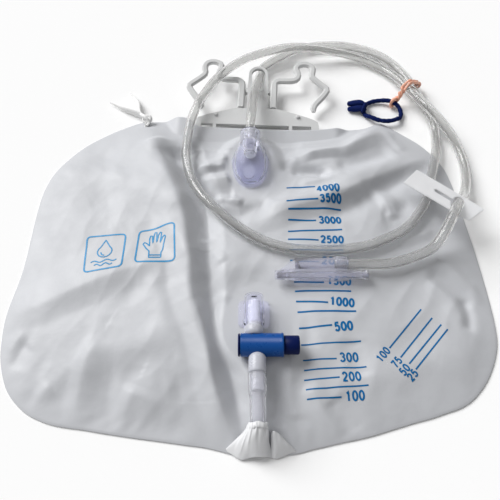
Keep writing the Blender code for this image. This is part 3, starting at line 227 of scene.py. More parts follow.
# Route of the inlet tube from inside the chamber to the connector, as in the solids. The part
# through the hanger's eye is in the plate's own frame.
INLET_START = [
    (1.4, 54.2, 22.7), (1.4, 66, 22.7), (1.4, 78, 22.7), (1.5, 86, 22.9), (2.6, 98, 24),
]
INLET_EYE = [
    (-2.6, 27, 14.6), (-1.2, 40, 8.6), (0.2, 53, 1.3), (0.8, 63.5, -4.6), (2.4, 70.4, -7.1),
]
INLET_ROUTE = [
    (13.6, 174.4, 4.8), (22.6, 182.6, 4.8), (31.9, 190.2, 4.8), (41.8, 197.2, 4.8), (54.5, 201.5, 4.8),
    (69.2, 204.3, 4.8), (93.6, 203.8, 4.8), (116.9, 195.4, 4.8), (132.6, 182.5, 4.8), (143.5, 165.6, 4.8),
    (151.1, 147.3, 4.8), (156.5, 129.6, 4.8), (160.6, 114.2, 4.8), (162.2, 101, 4.8), (161.3, 86.8, 5),
    (158.5, 71.7, 7), (153.1, 54.5, 9), (147, 37.1, 11), (142.4, 22.3, 12), (138.1, 13.2, 12),
    (132.2, 4, 13), (125.2, -5.3, 14), (115.9, -14.3, 15), (103.3, -22.2, 16), (89, -28.8, 17),
    (73.9, -32.4, 18), (59.3, -34, 18), (37.5, -34, 18), (23.8, -31.3, 18), (12.2, -27.2, 18),
    (0.5, -20.5, 18), (-13.1, -9.7, 17), (-27.2, 4.6, 16), (-35.3, 14.4, 15), (-42.2, 26.3, 14),
    (-46.8, 38.2, 14), (-50.5, 53.5, 14), (-51.5, 63.6, 14), (-51.1, 79.4, 15), (-49.1, 96.3, 16),
    (-44.4, 113.7, 17), (-37.5, 128.4, 18.4), (-30, 140.9, 19.6), (-18.7, 154.6, 20), (-5.2, 168.5, 18.4),
    (8.6, 179, 16), (24.7, 186.9, 14.6), (39, 190.5, 14.4), (53.1, 190.6, 14.3), (65.5, 190.1, 13),
    (79.3, 190.6, 9.8), (96.7, 188.8, 6.5), (112.6, 182, 5), (127.3, 170.4, 5.4), (136.1, 156.7, 8.5),
    (143, 138, 12.8), (150.8, 121.6, 14.8), (159, 107.6, 15), (167.2, 95.6, 12.6), (174.4, 86, 8),
    (178.8, 73.6, 4.9), (180.1, 57.4, 4.8), (178, 40.8, 6.2), (172.8, 26.4, 10.4), (165.2, 14.3, 18),
    (157.8, 4, 26.4), (151.4, -7.4, 29.6), (145.9, -17.4, 25.4), (139.6, -26.4, 20.4), (132.1, -32.6, 18),
    (116.4, -39.8, 18.5), (101.1, -44.9, 20.6), (90, -46.2, 22.2), (80, -46.3, 22.3), (71, -46.3, 22.3),
    (61.5, -46.3, 22.3),
]

# Stations of the drip chamber: y, half width, top, bottom and how square its foot is
CHAMBER_STATIONS = [
    (76.3, 8.4, 31.1, 14.3, 0), (68.6, 8.4, 31.1, 14.3, 0), (65.2, 8.9, 31.1, 14.9, 0.4),
    (61.6, 10.4, 31.3, 15.5, 0.8), (57, 12, 31.4, 15.9, 1), (51, 12.9, 31.2, 15.9, 1),
    (44, 12.9, 30.4, 15.9, 1), (38, 11.8, 28.6, 15.9, 1), (33.4, 9.6, 25.8, 15.9, 1),
    (30.4, 6.6, 22.4, 15.9, 1), (28.8, 3.4, 19, 15.9, 1),
]

# Route of the outlet tube from the valve down into the tail
OUTLET_ROUTE = [
    (5.9, -125.8, 22), (5.9, -132, 22), (5.9, -138, 21.9), (6, -144, 20.5), (6.2, -150, 17.6),
    (6.3, -155.6, 14.7), (6.4, -161.5, 12.2),
]

# Rows of the gathered tail, from its lower edge up to its neck: the left wing and the middle
TAIL_ROWS = [
    [(-15.2, -168.7, 1.2), (-10.8, -171.1, 1.4), (-7, -173.5, 1.6), (-3.8, -174.7, 1.4),
     (0.6, -173.8, 3.2), (4.9, -173.6, 5.6), (9.3, -173.5, 5.2), (12.5, -173, 2.4), (15, -172.9, 1.2)],
    [(-12, -166.6, 3.4), (-8.2, -168.1, 4.6), (-5.7, -169.9, 5), (-3.2, -171.1, 5.2), (1.2, -170, 9.2),
     (5.5, -169.3, 11.6), (9.2, -169.1, 10.4), (12.5, -169.3, 4.8), (14.4, -169.1, 3.8)],
    [(-7.6, -163, 6.4), (-5.7, -164.1, 9), (-3.8, -165.6, 10.6), (-1.3, -165.9, 12.6), (1.8, -164.8, 16),
     (5.5, -163.9, 17.6), (9.2, -164.2, 16.2), (11.8, -164.4, 10.6), (13.1, -164.5, 8)],
    [(-3.2, -159.4, 9.6), (-2.5, -160.5, 12.4), (-1.3, -161, 14.8), (0.6, -160.4, 17.6),
     (3, -160.2, 19.6), (6.1, -159.8, 20.4), (9.2, -159.6, 19.4), (11.7, -160.1, 16.4), (13, -160.4, 12)],
    [(-0.7, -155.9, 10.6), (-0.7, -155.9, 13.2), (0, -155.8, 16), (1.8, -155.8, 18.8),
     (3.7, -155.6, 20.6), (6.1, -155.2, 21.2), (8.6, -155.6, 20.2), (11.1, -156.1, 17.4),
     (12.4, -156.6, 13.8)],
]

# Flap at the right of the tail: its lower edge, its middle and its crest
FLAP_ROWS = [
    [(14.4, -172.8, 1), (16.9, -174, 1.1), (21.3, -172.9, 1.2), (25.8, -171.1, 1.3), (30.9, -169.9, 1.3)],
    [(14.4, -168.1, 5), (16.8, -169.1, 7.4), (20.5, -169, 6.6), (24.4, -168.7, 5), (29.6, -168.9, 2.6)],
    [(14.3, -163.5, 9), (16.1, -163.4, 12), (19.8, -164.9, 10.4), (23.7, -166.8, 7.6),
     (28.9, -168.4, 3.4)],
    [(14.3, -160.2, 11), (16.1, -159.6, 13.6), (19.3, -161, 11.6), (23.1, -163.9, 8.2),
     (28.3, -167.8, 3.4)],
    [(14.5, -159.9, 6), (16.4, -159.3, 6.4), (20.2, -161.1, 6), (23.9, -163.8, 4.6), (28.3, -167.7, 2.8)],
]

# Short ends of the elastic ring, arcs of the band over the two strands of the tube, seen along
# the band, and the two routes of the string
RING_ENDS = [
    [(104.6, 119, 4.4), (100.4, 121.6, 5), (96, 122.6, 3.4), (92, 122.9, 2.8), (88.9, 123, 2.5)],
    [(104.4, 124.6, 5.6), (100.4, 126.8, 6.2), (96, 128, 4.8), (92.2, 128.8, 3.6), (89.2, 129.3, 2.7)],
]
BAND_ARCS = [((27.8, 4.8), (-10, 12, 34, 56)), ((16.2, 12.5), (58, 84, 110, 136))]
KNOT_ROUTE = [
    (-88.4, 99.4, 2.2), (-89.8, 100, 3.6), (-89.6, 103, 5.4), (-85.6, 105.4, 7.2), (-86.8, 109.2, 8.4),
    (-91.4, 109.8, 7.4), (-93.2, 106.6, 5.2), (-90, 104.2, 4.6), (-87, 106.6, 3.8), (-90.6, 110.4, 4.6),
    (-94.4, 113.4, 4.8), (-99.4, 116.6, 4.2), (-105.6, 119.6, 3.4), (-112.6, 123, 3),
    (-119.4, 127.2, 2.6), (-125.8, 131.2, 2.4),
]
TAIL_ROUTE = [
    (-89.2, 100.8, 5.2), (-87.4, 103.6, 6.6), (-90.2, 107, 9.2), (-93.4, 110.4, 8), (-96, 114.4, 5.8),
    (-97.8, 119.6, 4.6), (-99.4, 125.6, 3.8), (-101.6, 131.6, 2.8), (-105.2, 138, 2.6),
    (-109, 143.8, 2.4),
]

# Foot of the nozzle's pocket before its corners are rounded: right, far, left and near side
HOLDER_FOOT = (11.4, -74.6, -3.6, -88.0)

# Turned profiles, each as (place along the axis, radius)
BARREL = [
    (-5.2, 7.1), (-4.9, 7.5), (-4.4, 7.7), (21.4, 7.7), (21.9, 8), (22.8, 8), (23.2, 7.7),
]
NOZZLE = [
    (6.4, 6), (9.4, 6.2), (11.6, 6.2), (12.8, 5.9), (13.5, 5.2), (14.2, 4.6), (30.2, 4.3), (31.1, 4.1),
    (31.5, 3.7),
]
SPIGOT = [
    (5.4, 4.2), (7.4, 5.2), (8.4, 5.7), (17.4, 5.7), (18.2, 5.5), (18.7, 5), (18.7, 4.25), (29.2, 4),
    (30, 3.8), (30.2, 3.5),
]
PLUNGER = [
    (-6.7, 6.9), (-6.5, 7.3), (-6.1, 7.55), (-5.5, 7.6), (-5.5, 6.1), (4, 6.1), (4, 5), (5.2, 5),
    (5.2, 6.1), (6.3, 6.1), (6.7, 3.4), (16.9, 3.4), (17.3, 6.1), (18.4, 6.1), (18.4, 5), (19.6, 5),
    (19.6, 6.1), (22.6, 6.1), (23.6, 6.1), (23.8, 6.25), (32.7, 6.25), (33.3, 6.05), (33.6, 5.6),
    (33.7, 4.8), (33.3, 4.2),
]
POCKET = [
    (0, 6.7), (0.4, 6.8), (19.6, 6.7), (20.8, 6.3), (21.4, 5.4), (21.6, 4.4), (21.2, 0.4), (20.8, 0.4),
    (20.6, 4), (20.2, 5), (19.4, 5.6), (0.4, 5.8), (0, 5.9),
]
CONNECTOR = [
    (20.2, 2.3), (25.4, 2.5), (25.7, 4), (26, 4.2), (26.9, 4.2), (27.2, 3.5), (28.4, 3.5), (28.7, 4),
    (29, 4.2), (31, 4.2), (31.6, 4.4), (44, 4.55), (58, 4.7), (69.2, 4.45), (70.4, 4), (71.4, 3.2),
    (82, 3), (82.3, 3.4), (83.7, 3.5), (84, 3.2),
]
SOCKET = [
    (-25, 4.15), (-24.2, 4.3), (2.4, 4.5), (3.2, 5), (4, 5.3), (11.6, 5.3), (12.2, 5.15), (12.5, 4.8),
]

# Pinch clamp in its own plane: its outline, and the narrow end and the round eye of its keyhole
CLAMP_OUTLINE = [(-29.0, -7.8, 0), (27.1, -7.2, 0), (31.4, 5.0, 0), (30.6, 6.0, 0), (-26.0, 5.8, 0)]
CLAMP_SLOT_END = [(-5.4, 0.5, 0), (-6.3, -0.4, 0), (-5.4, -1.3, 0)]
EYE = (13.5, -0.4)
EYE_RADIUS = 4.9

# Strokes of the numbers, each in a box from 0 to 1
OVAL = [(0.5 + 0.38 * math.sin(TURN * i / 22), 0.5 + 0.46 * math.cos(TURN * i / 22)) for i in range(23)]
GLYPHS = {
    "0": [OVAL],
    "1": [[(0.22, 0.76), (0.40, 0.84), (0.54, 0.97), (0.54, 0.03)]],
    "2": [[(0.12, 0.74), (0.2, 0.88), (0.36, 0.96), (0.54, 0.96), (0.74, 0.87), (0.82, 0.72), (0.76, 0.55),
           (0.56, 0.38), (0.28, 0.18), (0.12, 0.04), (0.88, 0.04)]],
    "3": [[(0.14, 0.80), (0.26, 0.93), (0.48, 0.97), (0.70, 0.91), (0.80, 0.76), (0.72, 0.60), (0.50, 0.53),
           (0.72, 0.48), (0.86, 0.30), (0.76, 0.12), (0.52, 0.03), (0.28, 0.06), (0.12, 0.20)]],
    "4": [[(0.66, 0.03), (0.66, 0.96), (0.10, 0.30), (0.92, 0.30)]],
    "5": [[(0.80, 0.95), (0.28, 0.95), (0.18, 0.54), (0.40, 0.62), (0.62, 0.60), (0.80, 0.48), (0.84, 0.30),
           (0.76, 0.12), (0.54, 0.03), (0.30, 0.05), (0.14, 0.18)]],
    "7": [[(0.12, 0.95), (0.86, 0.95), (0.56, 0.50), (0.38, 0.03)]],
}

# Lines of the scale: start, end, the number beside it and the number's middle
LEVELS = [
    ((30.1, 26.2), (52.4, 25.8), "4000", (61.7, 21.4)), ((29, 8.2), (53.4, 10.7), "3500", (63.1, 12.1)),
    ((30.1, 1.6), (71.6, 6.2), "", None), ((30, -5.9), (51.4, -5.2), "3000", (62.1, -4.4)),
    ((29.7, -15.4), (70.6, -12.9), "", None), ((29.5, -22.2), (52.2, -22.5), "2500", (62.4, -21.7)),
    ((29.9, -31.5), (69.8, -30.7), "", None), ((30.3, -40.3), (52.8, -40.9), "2000", (62.3, -40.3)),
    ((31.4, -48), (69.7, -47.7), "", None), ((32.5, -57.4), (53.8, -58), "1500", (64.5, -57)),
    ((33, -64.3), (72.4, -64.9), "", None), ((33.5, -71.7), (55.5, -73.5), "1000", (65.4, -73)),
    ((34.2, -79.7), (74.6, -79.8), "", None), ((34.7, -91.7), (57.2, -89.8), "500", (65.1, -90.4)),
    ((35.6, -103.4), (76.3, -100.5), "", None), ((36.6, -113.6), (58.9, -112.5), "300", (67.4, -111.3)),
    ((37, -120.1), (78.5, -117.7), "", None), ((36.7, -126.6), (59.9, -125), "200", (68, -124.2)),
    ((37.7, -132.9), (78.7, -129.8), "", None), ((38.1, -138.9), (60.6, -137.3), "100", (69.5, -136.3)),
]
SIDE_LEVELS = [
    ((95.1, -105.2), (121.1, -76.6), "100", (90.2, -109.7)),
    ((101.9, -111.5), (128.1, -82.6), "75", (98.7, -114.7)),
    ((107.2, -115.7), (133.8, -87.3), "50", (103.5, -119.6)),
    ((111.2, -119.3), (137.7, -90.7), "25", (108.6, -122.9)),
]

# Numbers that lie on a slope of the film are printed taller or lower to look alike
TALLER = {"4000": 1.45, "3500": 0.85}

# The two picture frames, and the open hand and its cuff in a frame
LEFT_FRAME = [(-121.9, -16.8), (-92.3, -15.9), (-91.4, -45.4), (-119.0, -49.0)]
RIGHT_FRAME = [(-82.1, -14.2), (-55.0, -11.2), (-52.8, -42.2), (-82.3, -42.1)]
HAND = [
    (0.34, 0.12), (0.33, 0.32), (0.24, 0.42), (0.15, 0.56), (0.18, 0.61), (0.25, 0.57), (0.33, 0.48),
    (0.31, 0.7), (0.33, 0.8), (0.38, 0.79), (0.41, 0.56), (0.42, 0.78), (0.45, 0.88), (0.5, 0.87),
    (0.51, 0.58), (0.55, 0.79), (0.6, 0.85), (0.64, 0.82), (0.6, 0.56), (0.67, 0.7), (0.72, 0.73),
    (0.75, 0.69), (0.7, 0.5), (0.68, 0.34), (0.64, 0.26), (0.64, 0.12), (0.34, 0.12),
]
CUFF = [(0.34, 0.19), (0.64, 0.19)]


# Curves and rings

def catmull_rom(route, closed=False, parts=12):
    """Dense smooth curve through the route points."""
    pts = [Vector(p) for p in route]
    count = len(pts)
    out = []
    for k in range(count if closed else count - 1):
        b = pts[k]
        c = pts[(k + 1) % count]
        a = pts[k - 1] if closed or k > 0 else b * 2.0 - c
        d = pts[(k + 2) % count] if closed or k + 2 < count else c * 2.0 - b
        for i in range(parts):
            t = i / parts
            out.append(0.5 * (2.0 * b + (c - a) * t + (2.0 * a - 5.0 * b + 4.0 * c - d) * t * t
                              + (3.0 * b - a - 3.0 * c + d) * t * t * t))
    return out if closed else out + [pts[-1]]


def even_steps(dense, count):
    """Points evenly spread along a dense curve."""
    lengths = [0.0]
    for a, b in zip(dense, dense[1:]):
        lengths.append(lengths[-1] + (b - a).length)
    out = []
    k = 0
    for i in range(count):
        want = lengths[-1] * i / (count - 1)
        while k < len(dense) - 2 and lengths[k + 1] < want:
            k += 1
        span = lengths[k + 1] - lengths[k]
        out.append(dense[k].lerp(dense[k + 1], (want - lengths[k]) / span if span > 0.0 else 0.0))
    return out


def soft_step(value, start, end):
    t = np.clip((value - start) / (end - start), 0.0, 1.0)
    return t * t * (3.0 - 2.0 * t)


def around(count):
    """Cosine and sine at even steps of a full turn."""
    return [(math.cos(TURN * i / count), math.sin(TURN * i / count)) for i in range(count)]


def axis_frame(origin, direction):
    turn = Vector((0.0, 0.0, 1.0)).rotation_difference(Vector(direction)).to_matrix().to_4x4()
    return Matrix.Translation(Vector(origin)) @ turn


def hanger_matrix():
    turn = Matrix.Rotation(math.radians(HANGER_TURN), 4, "Z")
    tilt = Matrix.Rotation(math.radians(HANGER_TILT), 4, "X")
    return Matrix.Translation(Vector(HANGER_ORIGIN)) @ turn @ tilt


# Meshes: every skin is a pair of points and faces

def add_mesh(name, skin, look_name, node=None, body="bag", smooth=True):
    """Make a piece from a skin in millimetres; it rides on a body and may stand for a node."""
    work = bmesh.new()
    corners = [work.verts.new((p[0] * MM, p[1] * MM, p[2] * MM)) for p in skin[0]]
    for face in skin[1]:
        work.faces.new([corners[i] for i in face])
    bmesh.ops.recalc_face_normals(work, faces=work.faces)
    for face in work.faces:
        face.smooth = smooth
    data = bpy.data.meshes.new(name)
    work.to_mesh(data)
    work.free()
    made = bpy.data.objects.new(name, data)
    bpy.context.scene.collection.objects.link(made)
    data.materials.append(LOOKS[look_name])
    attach(made, body)
    if node:
        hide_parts(node)
    return made


def taken(work):
    """Skin of a finished bmesh, which is then freed."""
    work.verts.index_update()
    skin = [tuple(v.co) for v in work.verts], [tuple(v.index for v in face.verts) for face in work.faces]
    work.free()
    return skin


def loop_of(work, line):
    """Closed loop of edges through points."""
    corners = [work.verts.new(p) for p in line]
    return [work.edges.new(pair) for pair in zip(corners, corners[1:] + corners[:1])]


def turned(profile, place, segments=48, walled=False):
    """Profile of (along, radius) spun round an axis; a walled one closes on itself."""
    work = bmesh.new()
    spots = [(radius, 0.0, along) for along, radius in profile]
    line = loop_of(work, spots)
    if not walled:
        work.edges.remove(line.pop())
    bmesh.ops.spin(work, geom=work.verts[:] + line, axis=(0.0, 0.0, 1.0), angle=TURN, steps=segments,
                   use_merge=True)
    if not walled:
        bmesh.ops.holes_fill(work, edges=work.edges[:], sides=0)
    bmesh.ops.transform(work, matrix=place, verts=work.verts)
    return taken(work)


def hollow(outside, bore, place, segments=56):
    """Turned wall round a bore."""
    return turned(outside + [(outside[-1][0], bore), (outside[0][0], bore)], place, segments, walled=True)


def bridged(rings):
    """Solid bridged from ring to ring, with its two ends filled."""
    work = bmesh.new()
    loops = [loop_of(work, ring) for ring in rings]
    for a, b in zip(loops, loops[1:]):
        bmesh.ops.bridge_loops(work, edges=a + b)
    bmesh.ops.holes_fill(work, edges=loops[0] + loops[-1], sides=0)
    return taken(work)


def ring_skin(rings, closed=False, caps=True):
    """Skin of a soft piece over a run of closed rings with as many points each."""
    count = len(rings[0])
    faces = []
    for row in range(len(rings) if closed else len(rings) - 1):
        a = row * count
        b = ((row + 1) % len(rings)) * count
        for i in range(count):
            j = (i + 1) % count
            faces.append((a + i, a + j, b + j, b + i))
    if caps and not closed:
        last = (len(rings) - 1) * count
        faces += [tuple(range(count - 1, -1, -1)), tuple(range(last, last + count))]
    return [p for ring in rings for p in ring], faces


def merged(*skins):
    """Several skins as one."""
    points = []
    faces = []
    for some, skin in skins:
        start = len(points)
        points += some
        faces += [tuple(i + start for i in face) for face in skin]
    return points, faces


def sweep_rings(points, radii, sides, flat=1.0, spin=0.0):
    """Rings carried along a line without twisting; flat squeezes them and spin turns them."""
    rings = []
    last = len(points) - 1
    up = UP
    for k, spot in enumerate(points):
        ahead = (points[min(k + 1, last)] - points[max(k - 1, 0)]).normalized()
        side = ahead.cross(up)
        if side.length < 1e-4:
            side = ahead.cross(Vector((1.0, 0.0, 0.0)))
        side.normalize()
        up = side.cross(ahead).normalized()
        radius = radii[k] if isinstance(radii, list) else radii
        turn_c = math.cos(spin * k)
        turn_s = math.sin(spin * k)
        ring = []
        for c, s in around(sides):
            a = radius * c
            b = radius * flat * s
            ring.append(tuple(spot + side * (a * turn_c - b * turn_s) + up * (a * turn_s + b * turn_c)))
        rings.append(ring)
    return rings


def tube(points, outer, inner, sides):
    """Hollow tube with open ends closed by a flat lip."""
    return ring_skin(sweep_rings(points, outer, sides) + sweep_rings(points, inner, sides)[::-1], closed=True)


# Height of the film

EDGE_CURVE = np.array([p.xy for p in catmull_rom([(x, y, 0.0) for x, y in FILM_EDGE], True, 6)])


def edge_table():
    """Distance from the bag's middle to the sheet's edge, all the way round."""
    a = EDGE_CURVE - np.array(BAG_CENTRE)
    b = np.roll(a, -1, axis=0)
    out = []
    for dx, dy in around(EDGE_STEPS):
        side_a = dx * a[:, 1] - dy * a[:, 0]
        side_b = dx * b[:, 1] - dy * b[:, 0]
        hit = (side_a * side_b <= 0.0) & (side_a != side_b)
        t = side_a[hit] / (side_a[hit] - side_b[hit])
        cross = a[hit] + (b[hit] - a[hit]) * t[:, None]
        out.append(float((cross @ np.array((dx, dy))).max()))
    return np.array(out + out[:1])


EDGE_TABLE = edge_table()


def edge_reach(angle):
    spot = (np.asarray(angle) % TURN) / TURN * EDGE_STEPS
    low = np.floor(spot).astype(int) % EDGE_STEPS
    part = spot - np.floor(spot)
    return EDGE_TABLE[low] * (1.0 - part) + EDGE_TABLE[low + 1] * part


def edge_ratio(x, y):
    """Share of the way from the bag's middle to its edge."""
    dx = np.asarray(x) - BAG_CENTRE[0]
    dy = np.asarray(y) - BAG_CENTRE[1]
    return np.hypot(dx, dy) / edge_reach(np.arctan2(dy, dx))


def plate_lift(x, y):
    """How far the film rises over the hanger plate, from 0 to 1."""
    across = 1.0 - soft_step(np.abs(x - PLATE_X), *PLATE_FADE_X)
    return across * soft_step(y, *PLATE_FADE_Y)


def broad_height(x, y, folds, blend):
    """Underside of the front sheet with broad folds; the seats blend into it by a ratio."""
    ratio = np.minimum(edge_ratio(x, y), 1.0)
    height = SHEET + GAP + BAG_RISE * (1.0 - ratio ** 3)
    total = 0.0
    for ax, ay, bx, by, width, rise in folds:
        ex = bx - ax
        ey = by - ay
        t = np.clip(((x - ax) * ex + (y - ay) * ey) / (ex * ex + ey * ey), 0.0, 1.0)
        gap = np.hypot(x - ax - ex * t, y - ay - ey * t)
        total = total + rise * np.exp(-((gap / width) ** 2))
    height = height + total * (1.0 - ratio ** 6)
    for cx, cy, half_x, half_y, level in SEATS:
        keep = 1.0 - soft_step(np.hypot((x - cx) / half_x, (y - cy) / half_y), 1.0, blend)
        height = height + (level - height) * keep
    floor = PLATE_TOP + PLATE_SLOPE * (y - PLATE_Y)
    return np.maximum(height, SHEET + GAP + (floor - SHEET - GAP) * plate_lift(x, y))


def rest_height(x, y):
    """Top of what a cord lies on: the sheet of the solid, its hem or the table."""
    ratio = float(edge_ratio(x, y))
    if ratio < 1.0:
        return float(broad_height(x, y, FOLDS, SOLID_BLEND)) + SHEET
    near = 1.0 - float(soft_step((ratio - 1.0) * HEM_REACH, 1.5, 5.0))
    return (SHEET * 2.0 + GAP + float(plate_lift(x, y)) * 5.0) * near


def lie_on(x, y, radius):
    """Height at which a round cord just clears what is under it."""
    best = radius
    for ring in (0.0, 0.5, 0.8, 1.0):
        for c, s in around(8):
            height = rest_height(x + ring * radius * c, y + ring * radius * s)
            best = max(best, height + radius * math.sqrt(1.0 - ring * ring))
    return best + GAP


def inlet_curve():
    place = hanger_matrix()
    lifted = []
    for spot in INLET_START + [place @ Vector(p) for p in INLET_EYE] + INLET_ROUTE:
        x, y, z = spot
        over_plate = y > 97.0 and abs(x - PLATE_X) < 60.0
        floor = TUBE_OUTER / 2.0 if over_plate else lie_on(x, y, TUBE_OUTER / 2.0) + LAY_ROOM
        lifted.append(Vector((x, y, max(z, floor))))
    return catmull_rom(lifted, parts=8)


INLET_LINE = inlet_curve()


def width_along(width, run):
    """Width of a crease at a share of its run: one number, or its start and its end."""
    start, end = width if isinstance(width, tuple) else (width, width)
    return start + (end - start) * run * run


def crease_height(x, y, creases, sharp):
    """Sum of the creases: sharp ones are tents with a rounded top, the others are soft swells."""
    total = np.zeros_like(x)
    for line, left, right, rise in creases:
        best = np.full_like(x, 1e9)
        side = np.zeros_like(x)
        run = np.zeros_like(x)
        spans = [math.hypot(b[0] - a[0], b[1] - a[1]) for a, b in zip(line, line[1:])]
        gone = 0.0
        for (ax, ay), (bx, by), span in zip(line, line[1:], spans):
            ex = bx - ax
            ey = by - ay
            t = np.clip(((x - ax) * ex + (y - ay) * ey) / (span * span), 0.0, 1.0)
            px = x - ax - ex * t
            py = y - ay - ey * t
            gap = np.hypot(px, py)
            nearer = gap < best
            best = np.where(nearer, gap, best)
            side = np.where(nearer, ex * py - ey * px, side)
            run = np.where(nearer, (gone + t * span) / sum(spans), run)
            gone += span
        reach = best / np.where(side > 0.0, width_along(left, run), width_along(right, run))
        if sharp:
            tent = 1.0 + CREST - np.sqrt(reach * reach + CREST * CREST)
            shape = 0.5 * (tent + np.sqrt(tent * tent + FOOT * FOOT)) * np.exp(-((reach / 1.5) ** 4))
        else:
            shape = np.exp(-(reach * reach))
        fade = soft_step(run, 0.0, 0.18) * (1.0 - soft_step(run, 0.8, 1.0))
        total = total + rise * shape * (0.2 + 0.8 * fade)
    return total


def noise_field(x, y, size, seed, stretch, turn):
    """Noise in the plane, stretched along an axis that is turned."""
    c = math.cos(turn)
    s = math.sin(turn)
    out = np.empty(x.size)
    for i, (px, py) in enumerate(zip(x.ravel(), y.ravel())):
        a = (px * c + py * s) / (size * stretch[0])
        b = (-px * s + py * c) / (size * stretch[1])
        out[i] = noise.noise((a, b, seed))
    return out.reshape(x.shape)


def under_pieces(x, y, z):
    """Hold the film below the tube that lies on it."""
    reach = TUBE_OUTER / 2.0
    for px, py, pz in INLET_LINE[::2]:
        gap2 = (x - px) ** 2 + (y - py) ** 2
        near = gap2 < (reach + 3.0) ** 2
        if not near.any():
            continue
        inside = np.clip(1.0 - gap2[near] / (reach + 0.1) ** 2, 0.0, 1.0)
        roof = pz - (reach + 0.5) * np.sqrt(inside)
        roof = np.where(gap2[near] > (reach + 0.1) ** 2, pz + 2.0 * (np.sqrt(gap2[near]) - reach), roof)
        z[near] = np.minimum(z[near], roof)
    return z


def film_surface(x, y):
    """Upper face of the front film: broad folds, creases, slow waves and puckers along the hem."""
    ratio = np.minimum(edge_ratio(x, y), 1.0)
    free = 1.0 - ratio ** 10
    for cx, cy, half_x, half_y, level in SEATS:
        free = free * soft_step(np.hypot((x - cx) / half_x, (y - cy) / half_y), 0.86, 1.2)
    lift = plate_lift(x, y)
    free = free * (1.0 - 0.75 * lift)
    fine = WAVES * noise_field(x, y, 36.0, 3.1, (1.0, 1.7), 0.6)
    fine = fine + RIDGES * (0.35 - np.abs(noise_field(x, y, 21.0, 8.4, (0.8, 2.0), -0.5)))
    fine = fine + CRUMPLES * (0.3 - np.abs(noise_field(x, y, 9.0, 5.7, (1.0, 1.6), 0.9)))
    creases = crease_height(x, y, SHARP_CREASES, True) + crease_height(x, y, SOFT_CREASES, False)
    angle = np.arctan2(y - BAG_CENTRE[1], x - BAG_CENTRE[0])
    rim = np.exp(-(((ratio - 0.955) / 0.03) ** 2))
    pucker = np.sin(angle * 74.0 + 3.0 * np.sin(angle * 9.0)) * (0.3 + 0.3 * np.sin(angle * 5.0 + 1.0))
    out = broad_height(x, y, FOLDS[CREASED:], FILM_BLEND) + SHEET
    out = out + free * (DEEPER * creases + fine) + rim * pucker * PUCKER * (1.0 - lift)
    low = SHEET + GAP + 0.5
    out = np.where(out < low, low + 0.2 * (out - low), out)
    return under_pieces(x, y, np.maximum(out, SHEET + GAP * 0.6))


# Camera, floor and light

def build_stage():
    scene = bpy.context.scene
    scene.view_settings.view_transform = "Standard"
    camera_data = bpy.data.cameras.new("camera")
    camera_data.lens = LENS
    camera_data.sensor_width = 36.0
    camera_data.clip_start = 0.01
    camera = bpy.data.objects.new("camera", camera_data)
    scene.collection.objects.link(camera)
    target = Vector(CAMERA_TARGET)
    camera.location = target + Vector(CAMERA_AWAY)
    camera.rotation_euler = (target - camera.location).to_track_quat("-Z", "Y").to_euler()
    scene.camera = camera

    data = bpy.data.meshes.new("floor")
    corners = [(-FLOOR_HALF, -FLOOR_HALF), (FLOOR_HALF, -FLOOR_HALF), (FLOOR_HALF, FLOOR_HALF),
               (-FLOOR_HALF, FLOOR_HALF)]
    data.from_pydata([(x, y, -0.0002) for x, y in corners], [], [(0, 1, 2, 3)])
    floor = bpy.data.objects.new("floor", data)
    scene.collection.objects.link(floor)
    paint = bpy.data.materials.new("floor_paint")
    paint.use_nodes = True
    shader = paint.node_tree.nodes["Principled BSDF"]
    shader.inputs["Base Color"].default_value = (FLOOR_WHITE, FLOOR_WHITE, FLOOR_WHITE, 1.0)
    shader.inputs["Roughness"].default_value = 0.9
    shader.inputs["Specular IOR Level"].default_value = 0.1
    data.materials.append(paint)

    world = bpy.data.worlds.new("sky")
    scene.world = world
    world.use_nodes = True
    tree = world.node_tree
    back = tree.nodes["Background"]
    path = tree.nodes.new("ShaderNodeLightPath")
    seen = tree.nodes.new("ShaderNodeMath")
    seen.operation = "MAXIMUM"
    tree.links.new(path.outputs["Is Camera Ray"], seen.inputs[0])
    tree.links.new(path.outputs["Is Transmission Ray"], seen.inputs[1])
    level = tree.nodes.new("ShaderNodeMapRange")
    level.inputs["To Min"].default_value = SKY_LIGHT
    level.inputs["To Max"].default_value = 1.0
    tree.links.new(seen.outputs[0], level.inputs["Value"])
    tree.links.new(level.outputs[0], back.inputs["Strength"])
    back.inputs["Color"].default_value = (1.0, 1.0, 1.0, 1.0)

    sun_data = bpy.data.lights.new("key", "SUN")
    sun_data.energy = SUN_STRENGTH
    sun_data.angle = math.radians(SUN_WIDTH)
    sun = bpy.data.objects.new("key", sun_data)
    sun.rotation_euler = Vector(SUN_WAY).to_track_quat("-Z", "Y").to_euler()
    scene.collection.objects.link(sun)


# Materials

